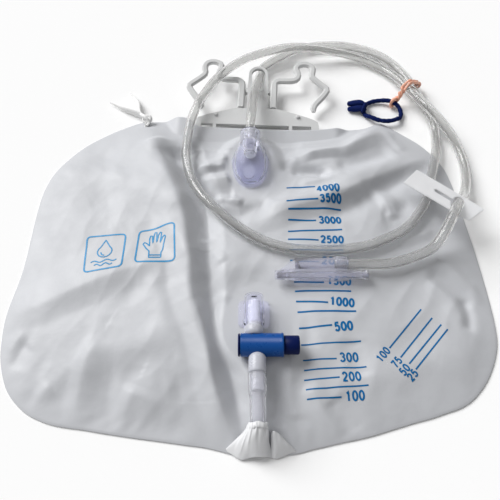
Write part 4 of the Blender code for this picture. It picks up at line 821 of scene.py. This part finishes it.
def grain_group():
    """Noise in the piece's own space, stretched between a low and a high value."""
    group = bpy.data.node_groups.new("grain", "ShaderNodeTree")
    face = group.interface
    face.new_socket("Vector", in_out="INPUT", socket_type="NodeSocketVector")
    for name, value in (("Scale", 50.0), ("Detail", 3.0), ("Warp", 0.0), ("Low", 0.0), ("High", 1.0)):
        face.new_socket(name, in_out="INPUT", socket_type="NodeSocketFloat").default_value = value
    face.new_socket("Value", in_out="OUTPUT", socket_type="NodeSocketFloat")
    nodes = group.nodes
    start = nodes.new("NodeGroupInput")
    end = nodes.new("NodeGroupOutput")
    cloud = nodes.new("ShaderNodeTexNoise")
    span = nodes.new("ShaderNodeMapRange")
    span.inputs["From Min"].default_value = 0.25
    span.inputs["From Max"].default_value = 0.75
    for name, socket in (("Vector", cloud.inputs["Vector"]), ("Scale", cloud.inputs["Scale"]),
                         ("Detail", cloud.inputs["Detail"]), ("Warp", cloud.inputs["Distortion"]),
                         ("Low", span.inputs["To Min"]), ("High", span.inputs["To Max"])):
        group.links.new(start.outputs[name], socket)
    group.links.new(cloud.outputs[0], span.inputs["Value"])
    group.links.new(span.outputs[0], end.inputs["Value"])
    return group


GRAIN = grain_group()


def look(name, colour, rough=0.4, tint=0.06, size=60.0, bump=0.1, bump_size=700.0, depth=0.1, **values):
    """Principled material with a drifting colour, roughness and surface."""
    made = bpy.data.materials.new(name)
    made.use_nodes = True
    nodes = made.node_tree.nodes
    links = made.node_tree.links
    shader = nodes["Principled BSDF"]
    place = nodes.new("ShaderNodeTexCoord")

    def grain(scale, low, high, detail=3.0, warp=0.0):
        node = nodes.new("ShaderNodeGroup")
        node.node_tree = GRAIN
        links.new(place.outputs["Object"], node.inputs["Vector"])
        settings = {"Scale": scale, "Detail": detail, "Warp": warp, "Low": low, "High": high}
        for key, value in settings.items():
            node.inputs[key].default_value = value
        return node.outputs["Value"]

    shade = nodes.new("ShaderNodeMix")
    shade.data_type = "RGBA"
    shade.inputs[6].default_value = (*[c * (1.0 - tint) for c in colour], 1.0)
    shade.inputs[7].default_value = (*[min(c * (1.0 + tint), 1.0) for c in colour], 1.0)
    links.new(grain(size, 0.0, 1.0, 4.0), shade.inputs[0])
    links.new(shade.outputs[2], shader.inputs["Base Color"])
    links.new(grain(size * 2.3, rough * 0.8, rough * 1.25), shader.inputs["Roughness"])
    relief = nodes.new("ShaderNodeBump")
    relief.inputs["Strength"].default_value = bump
    relief.inputs["Distance"].default_value = depth * MM
    links.new(grain(bump_size, 0.0, 1.0, 3.0, 0.4), relief.inputs["Height"])
    links.new(relief.outputs[0], shader.inputs["Normal"])
    for key, value in values.items():
        shader.inputs[key.replace("_", " ")].default_value = value
    return made


def film_look(name, colour, rough):
    """Satin film: slow waves and a faint crinkle over it."""
    made = look(name, colour, rough, tint=0.03, size=20.0, bump=0.3, bump_size=70.0, depth=0.45,
                Specular_IOR_Level=0.32)
    nodes = made.node_tree.nodes
    links = made.node_tree.links
    first = [n for n in nodes if n.type == "BUMP"][0]
    place = nodes.new("ShaderNodeTexCoord")
    crinkle = nodes.new("ShaderNodeTexVoronoi")
    crinkle.feature = "DISTANCE_TO_EDGE"
    crinkle.inputs["Scale"].default_value = 48.0
    warp = nodes.new("ShaderNodeTexNoise")
    warp.inputs["Scale"].default_value = 24.0
    bend = nodes.new("ShaderNodeMix")
    bend.data_type = "VECTOR"
    bend.inputs[0].default_value = 0.14
    links.new(place.outputs["Object"], warp.inputs["Vector"])
    links.new(place.outputs["Object"], bend.inputs[4])
    links.new(warp.outputs["Color"], bend.inputs[5])
    links.new(bend.outputs[1], crinkle.inputs["Vector"])
    second = nodes.new("ShaderNodeBump")
    second.inputs["Strength"].default_value = 0.1
    second.inputs["Distance"].default_value = 0.6 * MM
    links.new(crinkle.outputs["Distance"], second.inputs["Height"])
    links.new(first.outputs[0], second.inputs["Normal"])
    links.new(second.outputs[0], nodes["Principled BSDF"].inputs["Normal"])
    return made


def clear_look(name, colour, rough, through, bend, wave=0.03):
    """Clear plastic with slow waves in its surface."""
    return look(name, colour, rough, tint=0.02, size=90.0, bump=wave, bump_size=120.0, depth=0.3,
                Transmission_Weight=through, IOR=bend)


LOOKS = {
    "film": film_look("printed_film_look", (0.545, 0.555, 0.58), 0.46),
    "back": film_look("back_film_look", (0.74, 0.745, 0.76), 0.5),
    "white": look("hanger_look", (0.62, 0.625, 0.625), 0.42, bump=0.08),
    "clamp": look("clamp_look", (0.80, 0.805, 0.82), 0.35, bump=0.05),
    "dome": clear_look("dome_look", (0.90, 0.905, 0.99), 0.1, 0.95, 1.16),
    "lilac": clear_look("lilac_clear_look", (0.90, 0.90, 0.965), 0.16, 0.9, 1.25),
    "sleeve": clear_look("sleeve_look", (0.92, 0.92, 0.985), 0.06, 0.99, 1.05, wave=0.002),
    "clear": clear_look("clear_tube_look", (0.80, 0.80, 0.795), 0.06, 0.93, 1.33, wave=0.0),
    "outlet": clear_look("outlet_tube_look", (0.90, 0.90, 0.935), 0.12, 0.86, 1.25, wave=0.01),
    "port": clear_look("port_look", (0.62, 0.63, 0.69), 0.25, 0.2, 1.38, wave=0.01),
    "tap": clear_look("tap_blue_look", (0.003, 0.066, 0.28), 0.3, 0.1, 1.32, wave=0.01),
    "milky": look("milky_look", (0.86, 0.88, 0.90), 0.3, tint=0.03, bump=0.05,
                  Transmission_Weight=0.45, IOR=1.4),
    "navy": look("navy_look", (0.001, 0.007, 0.065), 0.42, tint=0.15, bump=0.08, Specular_IOR_Level=0.12),
    "rubber": look("rubber_look", (0.16, 0.17, 0.20), 0.6, tint=0.1, bump=0.2),
    "elastic": look("elastic_look", (0.001, 0.008, 0.075), 0.8, tint=0.3, size=500.0, bump=0.6,
                    bump_size=1500.0, depth=0.2, Specular_IOR_Level=0.15),
    "orange": look("orange_look", (0.84, 0.43, 0.30), 0.5, tint=0.14, size=200.0, bump=0.2),
    "string": look("string_look", (0.84, 0.84, 0.835), 0.8, tint=0.06, size=400.0, bump=0.5, bump_size=1400.0,
                   depth=0.2),
    "pale_ink": look("pale_ink_look", (0.010, 0.24, 0.50), 0.5, tint=0.14, size=240.0, bump=0.05),
    "ink": look("ink_look", (0.003, 0.130, 0.340), 0.5, tint=0.14, size=240.0, bump=0.05,
                Specular_IOR_Level=0.2),
}


# Pieces

def build_film():
    spokes = 540
    rings = 148
    angles = np.arange(spokes) * 2.0 * math.pi / spokes
    reach = edge_reach(angles)
    rows = (np.arange(1, rings + 1) / rings) ** 0.85
    x = BAG_CENTRE[0] + rows[:, None] * reach[None, :] * np.cos(angles)[None, :]
    y = BAG_CENTRE[1] + rows[:, None] * reach[None, :] * np.sin(angles)[None, :]
    z = film_surface(x, y)
    x = np.vstack([x, BAG_CENTRE[0] + (reach + HEM) * np.cos(angles)])
    y = np.vstack([y, BAG_CENTRE[1] + (reach + HEM) * np.sin(angles)])
    z = np.vstack([z, np.maximum(z[-1] - 0.55, SHEET + 0.05)])
    loops = [list(zip(*row)) for row in zip(x.tolist(), y.tolist(), z.tolist())]
    points, faces = ring_skin(loops, caps=False)
    middle = film_surface(np.array([BAG_CENTRE[0]]), np.array([BAG_CENTRE[1]]))
    faces += [(len(points), i, (i + 1) % spokes) for i in range(spokes)]
    points.append((*BAG_CENTRE, float(middle[0])))
    add_mesh("front_film", (points, faces), "film", "bag_front_film")
    return points, faces


def build_back():
    outline = []
    for k, (c, s) in enumerate(around(360)):
        reach = float(edge_reach(TURN * k / 360)) + SEAM_MARGIN
        outline.append((BAG_CENTRE[0] + reach * c, BAG_CENTRE[1] + reach * s))
    sheet = ring_skin([[(px, py, z) for px, py in outline] for z in (0.0, SHEET)])
    add_mesh("back_film", merged(sheet, tail_skin()), "back", "bag_back_film")


def fine_rows(rows, along, across):
    """A net of points on smooth lines through a coarse one."""
    columns = [catmull_rom(row, parts=across) for row in rows]
    lines = [catmull_rom([row[i] for row in columns], parts=along) for i in range(len(columns[0]))]
    return [[line[k] for line in lines] for k in range(len(lines[0]))]


def folded_sheet(rows, ripple, thick, seed):
    """Thin closed sheet over a net, with gathers that grow towards its last row."""
    net = fine_rows(rows, 8, 6)
    tall = len(net)
    wide = len(net[0])
    top = []
    for r, row in enumerate(net):
        grown = ripple * float(soft_step(r / (tall - 1), 0.05, 0.8))
        for c, spot in enumerate(row):
            wave = math.sin(c * 0.95 + seed) + 0.6 * math.sin(c * 1.7 + 0.12 * r + 2.0 * seed)
            grain = noise.noise((spot.x * 0.21, spot.y * 0.13, spot.z * 0.2 + seed))
            top.append(spot + UP * (grown * wave * 0.5 + 0.5 * ripple * grain))
    points = [tuple(p) for p in top] + [(p.x, p.y + 0.4 * thick, p.z - thick) for p in top]
    points = [(x, y, max(z, 0.15)) for x, y, z in points]
    half = tall * wide
    faces = []
    for r in range(tall - 1):
        for c in range(wide - 1):
            a = r * wide + c
            faces.append((a, a + 1, a + wide + 1, a + wide))
            faces.append((half + a, half + a + wide, half + a + wide + 1, half + a + 1))
    rim = list(range(wide)) + [r * wide + wide - 1 for r in range(1, tall)]
    rim += [(tall - 1) * wide + c for c in range(wide - 2, -1, -1)]
    rim += [r * wide for r in range(tall - 2, 0, -1)]
    faces += [(a, half + a, half + b, b) for a, b in zip(rim, rim[1:] + rim[:1])]
    return points, faces


def tail_skin():
    """Tail of the back sheet, folded up round the outlet tube and gathered at its neck."""
    neck = []
    wall = ((-159.0, 6.3), (-157.0, 6.1), (-155.4, 6.3), (-155.3, 6.0), (-157.0, 5.7), (-159.0, 5.8))
    for y, radius in wall:
        ring = []
        for k, (c, s) in enumerate(around(72)):
            angle = TURN * k / 72
            near = radius + 0.10 * math.sin(13.0 * angle + 0.7) + 0.06 * math.sin(22.0 * angle)
            ring.append((TAIL_X + near * c, y + 0.35 * math.sin(5.0 * angle), TAIL_Z + near * s))
        neck.append(ring)
    return merged(folded_sheet(TAIL_ROWS, 0.7, 0.7, 0.4), folded_sheet(FLAP_ROWS, 0.3, 0.6, 2.1),
                  ring_skin(neck, closed=True))


def cord_piece(name, points, radii, node, look_name, sides, flat=1.0, spin=0.0, **facts):
    """A solid round or flattened cord that stands for a node."""
    skin = ring_skin(sweep_rings(points, radii, sides, flat, spin))
    add_mesh(name, skin, look_name, node)


def build_inlet():
    """Clear inlet tube, its line smoothed a little where it changes height."""
    points = even_steps(INLET_LINE, 820)
    for _ in range(4):
        inner = [(a + b * 2.0 + c) / 4.0 for a, b, c in zip(points, points[1:], points[2:])]
        points = points[:1] + inner + points[-1:]
    skin = tube(points, TUBE_OUTER / 2.0, TUBE_INNER / 2.0, 28)
    made = add_mesh("long_inlet_tube", skin, "clear", "inlet_tube")


def ring_point(angle):
    """Point of the elastic loop at an angle from its middle."""
    lift = RING_START_LIFT * math.exp(-((math.degrees(angle) - RING_START) / 38.0) ** 2)
    lift += RING_FRONT_LIFT * float(soft_step(-math.sin(angle), 0.35, 0.8))
    x = RING_CENTRE[0] + RING_HALF[0] * math.cos(angle)
    y = RING_CENTRE[1] + RING_HALF[1] * math.sin(angle) - RING_LEAN * math.cos(angle)
    return Vector((x, y, max(RING_LOW + lift, lie_on(x, y, RING_RADIUS))))


def build_ring():
    """Elastic loop that starts and ends under the band, and its hitch with two short ends."""
    loop = []
    for i in range(49):
        angle = math.radians(RING_START - 360.0 * i / 48.0)
        loop.append(ring_point(angle if angle > math.radians(196.0) else angle + TURN))
    points = even_steps(catmull_rom(loop, parts=4), 150)
    radii = [RING_RADIUS * (1.0 + 0.05 * math.sin(i * 0.9) + 0.04 * math.sin(i * 0.37 + 1.0))
             for i in range(150)]
    skins = []
    for route in RING_ENDS:
        line = even_steps(catmull_rom(route, parts=6), 26)
        fat = [2.1 + 1.05 * math.sin(math.pi * min(i / 24.0, 1.0)) for i in range(23)] + [2.5, 2.0, 1.0]
        skins.append(ring_skin(sweep_rings(line, fat, 16, 0.86)))
    hitch = [Vector(HITCH) + Vector((1.9 * c, 3.9 * c, 3.1 * s)) for c, s in around(60)]
    skins.append(ring_skin(sweep_rings(hitch, HITCH_RADIUS, 12), closed=True))
    add_mesh("elastic_ring_knot", merged(*skins), "elastic", "elastic_ring")
    cord_piece("elastic_loop", points, radii, "elastic_ring", "elastic", 14, diameter=2.0 * RING_RADIUS * MM,
               far_end="object", stiffness="limp", lay="loose", with_pieces=["elastic_ring_knot"])


def build_band():
    """Elastic band hooked round the loop, twisted, and drawn over both strands of the tube."""
    way = Vector(BAND_WAY).normalized()
    side = Vector((-way.y, way.x, 0.0))
    ring_z = RING_RADIUS + 3.5
    reach = RING_RADIUS + BAND_RADIUS + 0.7
    over = TUBE_OUTER / 2.0 + BAND_RADIUS + 1.2

    def spot(along, height, across):
        return Vector(BAND_START) + way * along + UP * height + side * across

    arm = []
    for centre, angles in BAND_ARCS:
        for angle in angles:
            turn = math.radians(angle)
            arm.append((centre[0] + over * math.cos(turn), centre[1] + over * math.sin(turn)))
    top = Vector((arm[-1][0] - 1.6, arm[-1][1] - 1.7))
    down = []
    back = []
    for i in range(9):
        middle = top.lerp(Vector((3.6, ring_z)), i / 8.0)
        turn = math.radians(450.0 * i / 8.0)
        sway = BAND_SPREAD * math.cos(turn)
        rise = BAND_SPREAD * math.sin(turn)
        down.append(spot(middle.x, middle.y + rise, sway))
        back.append(spot(middle.x, middle.y - rise, -sway))
    hoop = []
    for i in range(7):
        turn = math.radians(50.0 + 260.0 * i / 6.0)
        hoop.append(spot(reach * math.cos(turn), ring_z + reach * math.sin(turn), 0.0))
    route = [spot(s, z, BAND_SPREAD) for s, z in arm] + down + hoop + back[::-1]
    route += [spot(s, z, -BAND_SPREAD) for s, z in reversed(arm)]
    points = even_steps(catmull_rom(route, parts=6), 240)
    radii = [BAND_RADIUS * (1.18 + 0.22 * math.sin(i * 0.31)) for i in range(240)]
    cord_piece("twisted_band", points, radii, "rubber_band", "orange", 12, 0.72, 0.11,
               diameter=2.2 * BAND_RADIUS * MM, far_end="object", stiffness="limp", lay="taut")


def build_string():
    """Flat white string knotted through the corner of the film, with two free tails."""
    strings = (("hanging_string", KNOT_ROUTE, 0.46), ("hanging_string_tail", TAIL_ROUTE, 0.42))
    for name, route, tail in strings:
        count = 120
        points = even_steps(catmull_rom(route, parts=8), count)
        radii = []
        for i in range(count):
            t = max(0.0, (i / (count - 1) - tail) / (1.0 - tail))
            swell = 1.55 * math.sin(math.pi * min(t * 1.25, 1.0))
            radii.append(1.35 + swell - 0.75 * float(soft_step(t, 0.75, 1.0)))
        cord_piece(name, points, radii, "hanging_cord", "string", 16, 0.55,
                   diameter=4.0 * MM, far_end="bare", stiffness="limp", lay="loose")


def chamber_ring(station, wall=0.0, drop=0.0):
    """Ring of the dome at a station: y, half width, top, bottom and how square its foot is."""
    y, half, top, bottom, square = station
    mid = NECK_AXIS_Z
    if square >= 0.5:
        low = min(NECK_AXIS_Z - 2.5, 0.5 * (top + bottom))
        mid += (low - NECK_AXIS_Z) * float(soft_step(square, 0.0, 0.9))
    ring = []
    for c, s in around(CHAMBER_SIDES):
        x = CHAMBER_X + (half - wall) * math.copysign(abs(c) ** (1.0 - 0.35 * square * (s < 0.0)), c)
        if s >= 0.0:
            z = mid + (top - wall - mid) * s
        else:
            z = mid - (mid - bottom + drop) * abs(s) ** (1.0 - 0.6 * square)
        ring.append((x, y, z))
    return ring


def bore_ring(y, radius):
    return [(CHAMBER_X + radius * c, y, NECK_AXIS_Z + radius * s) for c, s in around(CHAMBER_SIDES)]


def build_chamber():
    """Clear dome with its neck bored for the tube and a sleeve that reaches inside."""
    ends = [CHAMBER_STATIONS[0]] + CHAMBER_STATIONS + [CHAMBER_STATIONS[-1]]
    stations = catmull_rom(ends, parts=3)[3:-3][::-1]
    mouth = stations[-1]
    bore = TUBE_OUTER / 2.0 + GAP
    rings = [chamber_ring(s) for s in stations[:-1]]
    rings += [chamber_ring((mouth[0] - 0.7, *mouth[1:])), chamber_ring(mouth, 0.5)]
    rings += [bore_ring(y, bore + wider) for y, wider in (
        (NECK_MOUTH_Y, 0.5), (NECK_MOUTH_Y - 0.6, 0.0), (70.0, 0.0), (62.0, 0.0), (55.2, 0.0), (54.8, 0.3),
        (54.8, 0.9), (55.4, 1.1), (60.0, 1.1), (64.6, 1.1))]
    inside = [s for s in stations[::-1] if 30.0 < s[0] < 65.4]
    rings += [chamber_ring(s, CHAMBER_WALL, -CHAMBER_WALL * 0.6) for s in inside]
    add_mesh("clear_drip_chamber", bridged(rings), "dome", "chamber_dome")


def build_valve():
    across = axis_frame((0.0, VALVE_Y, VALVE_Z), (1.0, 0.0, 0.0))
    add_mesh("valve_barrel", hollow(BARREL, BARREL_BORE, across, 72), "tap", "valve_body")
    nozzle = hollow(NOZZLE, PORT_BORE, axis_frame((NOZZLE_X, VALVE_Y, VALVE_Z), (0.0, 1.0, 0.0)))
    spigot = hollow(SPIGOT, PORT_BORE, axis_frame((SPIGOT_X, VALVE_Y, VALVE_Z), (0.0, -1.0, 0.0)))
    add_mesh("valve_ports", merged(nozzle, spigot), "port", "valve_body")
    add_mesh("push_plunger", turned(PLUNGER, across, 72), "navy", "valve_plunger", body="plunger")


def build_outlet():
    line = even_steps(catmull_rom(OUTLET_ROUTE, parts=8), 60)
    flare = [1.0 - float(soft_step(-spot.y, 136.5, 141.5)) for spot in line]
    outer = [OUTLET_OUTER + 0.9 * f for f in flare]
    skin = tube(line, outer, [OUTLET_INNER + 0.95 * f for f in flare], 40)
    add_mesh("clear_outlet_tube", skin, "outlet", "outlet_tube")


def build_holder():
    """Thin clear pocket that the nozzle is pushed into, on its foot on the film."""
    place = axis_frame((NOZZLE_X, VALVE_Y + 14.6, VALVE_Z), (0.0, 1.0, 0.0))
    right, far, left, near = HOLDER_FOOT
    foot = []
    for cx, cy, start in ((right, far, 0.0), (left, far, 90.0), (left, near, 180.0), (right, near, 270.0)):
        for i in range(9):
            angle = math.radians(start + 90.0 * i / 8.0)
            foot.append((cx, cy, math.cos(angle), math.sin(angle)))
    levels = ((13.8, 3.2), (14.1, 3.4), (14.5, 3.3), (14.8, 2.8))
    rings = [[(cx + r * c, cy + r * s, z) for cx, cy, c, s in foot] for z, r in levels]
    skin = merged(turned(POCKET, place, 56, walled=True), bridged(rings))
    add_mesh("clear_nozzle_pocket", skin, "sleeve", "nozzle_holder")


def build_clamp():
    """Pinch clamp: a plate with a keyhole that the tube is squeezed in."""
    slot = []
    for i in range(25):
        angle = math.radians(-168.0 + 336.0 * i / 24.0)
        slot.append((EYE[0] + EYE_RADIUS * math.cos(angle), EYE[1] + EYE_RADIUS * math.sin(angle), 0.0))
    slot += CLAMP_SLOT_END
    work = bmesh.new()
    bmesh.ops.triangle_fill(work, use_beauty=True, edges=loop_of(work, CLAMP_OUTLINE) + loop_of(work, slot))
    raised = bmesh.ops.extrude_face_region(work, geom=work.faces[:])["geom"]
    top = [part for part in raised if isinstance(part, bmesh.types.BMVert)]
    bmesh.ops.translate(work, verts=top, vec=(0.0, 0.0, CLAMP_THICKNESS))
    sharp = [edge for edge in work.edges if len(edge.link_faces) == 2 and edge.calc_face_angle() > 1.0]
    bmesh.ops.bevel(work, geom=sharp, offset=0.3, segments=2, affect="EDGES")
    long_way = Vector(CLAMP_ALONG).normalized()
    normal = Vector(CLAMP_NORMAL).normalized()
    turn = Matrix((long_way, normal.cross(long_way), normal)).transposed().to_4x4()
    bmesh.ops.transform(work, matrix=Matrix.Translation(Vector(CLAMP_CENTRE)) @ turn, verts=work.verts)
    add_mesh("pinch_clamp", taken(work), "clamp", "slide_clamp", body="clamp", smooth=False)


def build_connector():
    main = hollow(CONNECTOR, CONNECTOR_BORE, axis_frame((0.0, CONNECTOR_Y, CONNECTOR_Z), (1.0, 0.0, 0.0)), 48)
    start = Vector((24.0, CONNECTOR_Y + 1.2, CONNECTOR_Z))
    lean = Vector((35.0, SOCKET_Y, CONNECTOR_Z)) - start
    branch = turned([(0.0, 3.0), (0.6, 3.2), (lean.length, 4.1)], axis_frame(start, lean.normalized()), 40)
    place = axis_frame((58.0, SOCKET_Y, CONNECTOR_Z), (1.0, 0.0, 0.0))
    socket = hollow(SOCKET, TUBE_OUTER / 2.0 + 0.2, place, 48)
    add_mesh("clear_connector", merged(main, branch, socket), "lilac", "connector_body")


def dress_nodes():
    for node, name in (
        ("hanger_plate", "white"), ("left_hook", "white"), ("right_hook", "white"),
        ("chamber_base", "dome"), ("connector_cap", "lilac"), ("reflux_flap", "milky"),
        ("plunger_seal_left", "rubber"), ("plunger_seal_right", "rubber"), ("sampling_septum", "rubber"),
    ):
        data = NODES[node].data
        if data.materials:
            data.materials[0] = LOOKS[name]
        else:
            data.materials.append(LOOKS[name])


# Print

def stroke(line, width, step=1.6):
    """Flat ribbon along a line in the plane, in short steps so that it can follow the film."""
    pts = [Vector(p) for p in line]
    fine = [pts[0]]
    for a, b in zip(pts, pts[1:]):
        parts = max(1, int(math.ceil((b - a).length / step)))
        fine += [a.lerp(b, (i + 1) / parts) for i in range(parts)]
    closed = (pts[0] - pts[-1]).length < 1e-6
    left = []
    right = []
    last = len(fine) - 1
    for k, spot in enumerate(fine):
        if closed and k in (0, last):
            way = fine[1] - fine[-2]
        else:
            way = fine[min(k + 1, last)] - fine[max(k - 1, 0)]
        way.normalize()
        side = Vector((-way.y, way.x)) * (width / 2.0)
        left.append(spot + side)
        right.append(spot - side)
    faces = [(k, k + 1, last + k + 2, last + k + 1) for k in range(last)]
    return [(p.x, p.y, 0.0) for p in left + right], faces


def written(text, centre, height, width, angle, weight, taller=1.0):
    """Strokes of a number round a centre."""
    c = math.cos(angle)
    s = math.sin(angle)
    parts = []
    for k, sign in enumerate(text):
        left = (k - len(text) / 2.0) * width
        for line in GLYPHS[sign]:
            out = []
            for gx, gy in line:
                lx = left + (0.08 + 0.84 * gx) * width
                ly = (gy - 0.5) * height * taller
                out.append((centre[0] + lx * c - ly * s, centre[1] + lx * s + ly * c))
            parts.append(stroke(out, weight, 1.0))
    return parts


def laid(name, parts, tree, lift, look_name="ink"):
    """A print laid on the film: every point is dropped on it and raised a hair."""
    points, faces = merged(*parts)
    dropped = []
    for px, py, _ in points:
        hit = tree.ray_cast(Vector((px, py, 60.0)), -UP)
        dropped.append(tuple(hit[0] + hit[1] * math.copysign(lift, hit[1].z)))
    add_mesh(name, (dropped, faces), look_name)


def rounded(corners, bite):
    """Outline of a quadrilateral with its corners rounded."""
    pts = [Vector(c) for c in corners]
    out = []
    for k, corner in enumerate(pts):
        before = (pts[k - 1] - corner).normalized() * bite
        after = (pts[(k + 1) % len(pts)] - corner).normalized() * bite
        for i in range(6):
            t = i / 5.0
            out.append(tuple((corner + before * (1.0 - t)).lerp(corner + after * t, t)))
    return out + out[:1]


def in_frame(corners, line):
    """Points given across a frame, from 0 to 1 each way, put in their place."""
    a, b, c, d = [Vector(p) for p in corners]
    return [tuple(d.lerp(c, fx).lerp(a.lerp(b, fx), fy)) for fx, fy in line]


def drop_lines():
    """A drop with a shine on it, over two waves."""
    drop = [(0.5, 0.86)]
    for i in range(13):
        angle = math.radians(50.0 - 280.0 * i / 12.0)
        drop.append((0.5 + 0.19 * math.cos(angle), 0.52 + 0.17 * math.sin(angle)))
    waves = []
    for level, half in ((0.24, 0.34), (0.14, 0.24)):
        waves.append([(0.5 + half * (i / 8.0 - 1.0), level + 0.03 * math.sin(i * math.pi / 4.0))
                      for i in range(17)])
    return [drop + drop[:1], [(0.40, 0.50), (0.43, 0.43), (0.50, 0.40)]] + waves


def build_print(points, faces):
    tree = BVHTree.FromPolygons([Vector(p) for p in points], faces)
    rules = []
    numbers = []
    for start, end, text, centre in LEVELS:
        upper = start[1] > BOLD_ABOVE
        rules.append(stroke([start, end], 1.3 if upper else 1.0))
        slope = math.atan2(end[1] - start[1], end[0] - start[0])
        if text:
            weight = 1.5 if upper else 1.25
            numbers += written(text, centre, *DIGIT, slope, weight, TALLER.get(text, 1.0))
    laid("print_level_lines", rules, tree, INK_LIFT)
    laid("print_level_numbers", numbers, tree, INK_LIFT + 0.03)
    rules = []
    numbers = []
    for start, end, text, centre in SIDE_LEVELS:
        rules.append(stroke([start, end], 1.05))
        slope = math.atan2(end[1] - start[1], end[0] - start[0])
        numbers += written(text, centre, *SIDE_DIGIT, slope, 1.1)
    laid("print_side_lines", rules, tree, INK_LIFT)
    laid("print_side_numbers", numbers, tree, INK_LIFT + 0.03)
    frames = []
    for corners, lines in ((LEFT_FRAME, drop_lines()), (RIGHT_FRAME, [HAND, CUFF])):
        frames.append(stroke(rounded(corners, 3.4), 1.3))
        frames += [stroke(in_frame(corners, line), 1.0, 1.2) for line in lines]
    laid("print_picture_frames", frames, tree, INK_LIFT, "pale_ink")


def main():
    build_stage()
    build_clamp()
    build_connector()
    build_inlet()
    build_ring()
    build_band()
    build_string()
    points, faces = build_film()
    build_print(points, faces)
    build_back()
    build_chamber()
    build_valve()
    build_outlet()
    build_holder()
    dress_nodes()
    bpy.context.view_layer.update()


main()
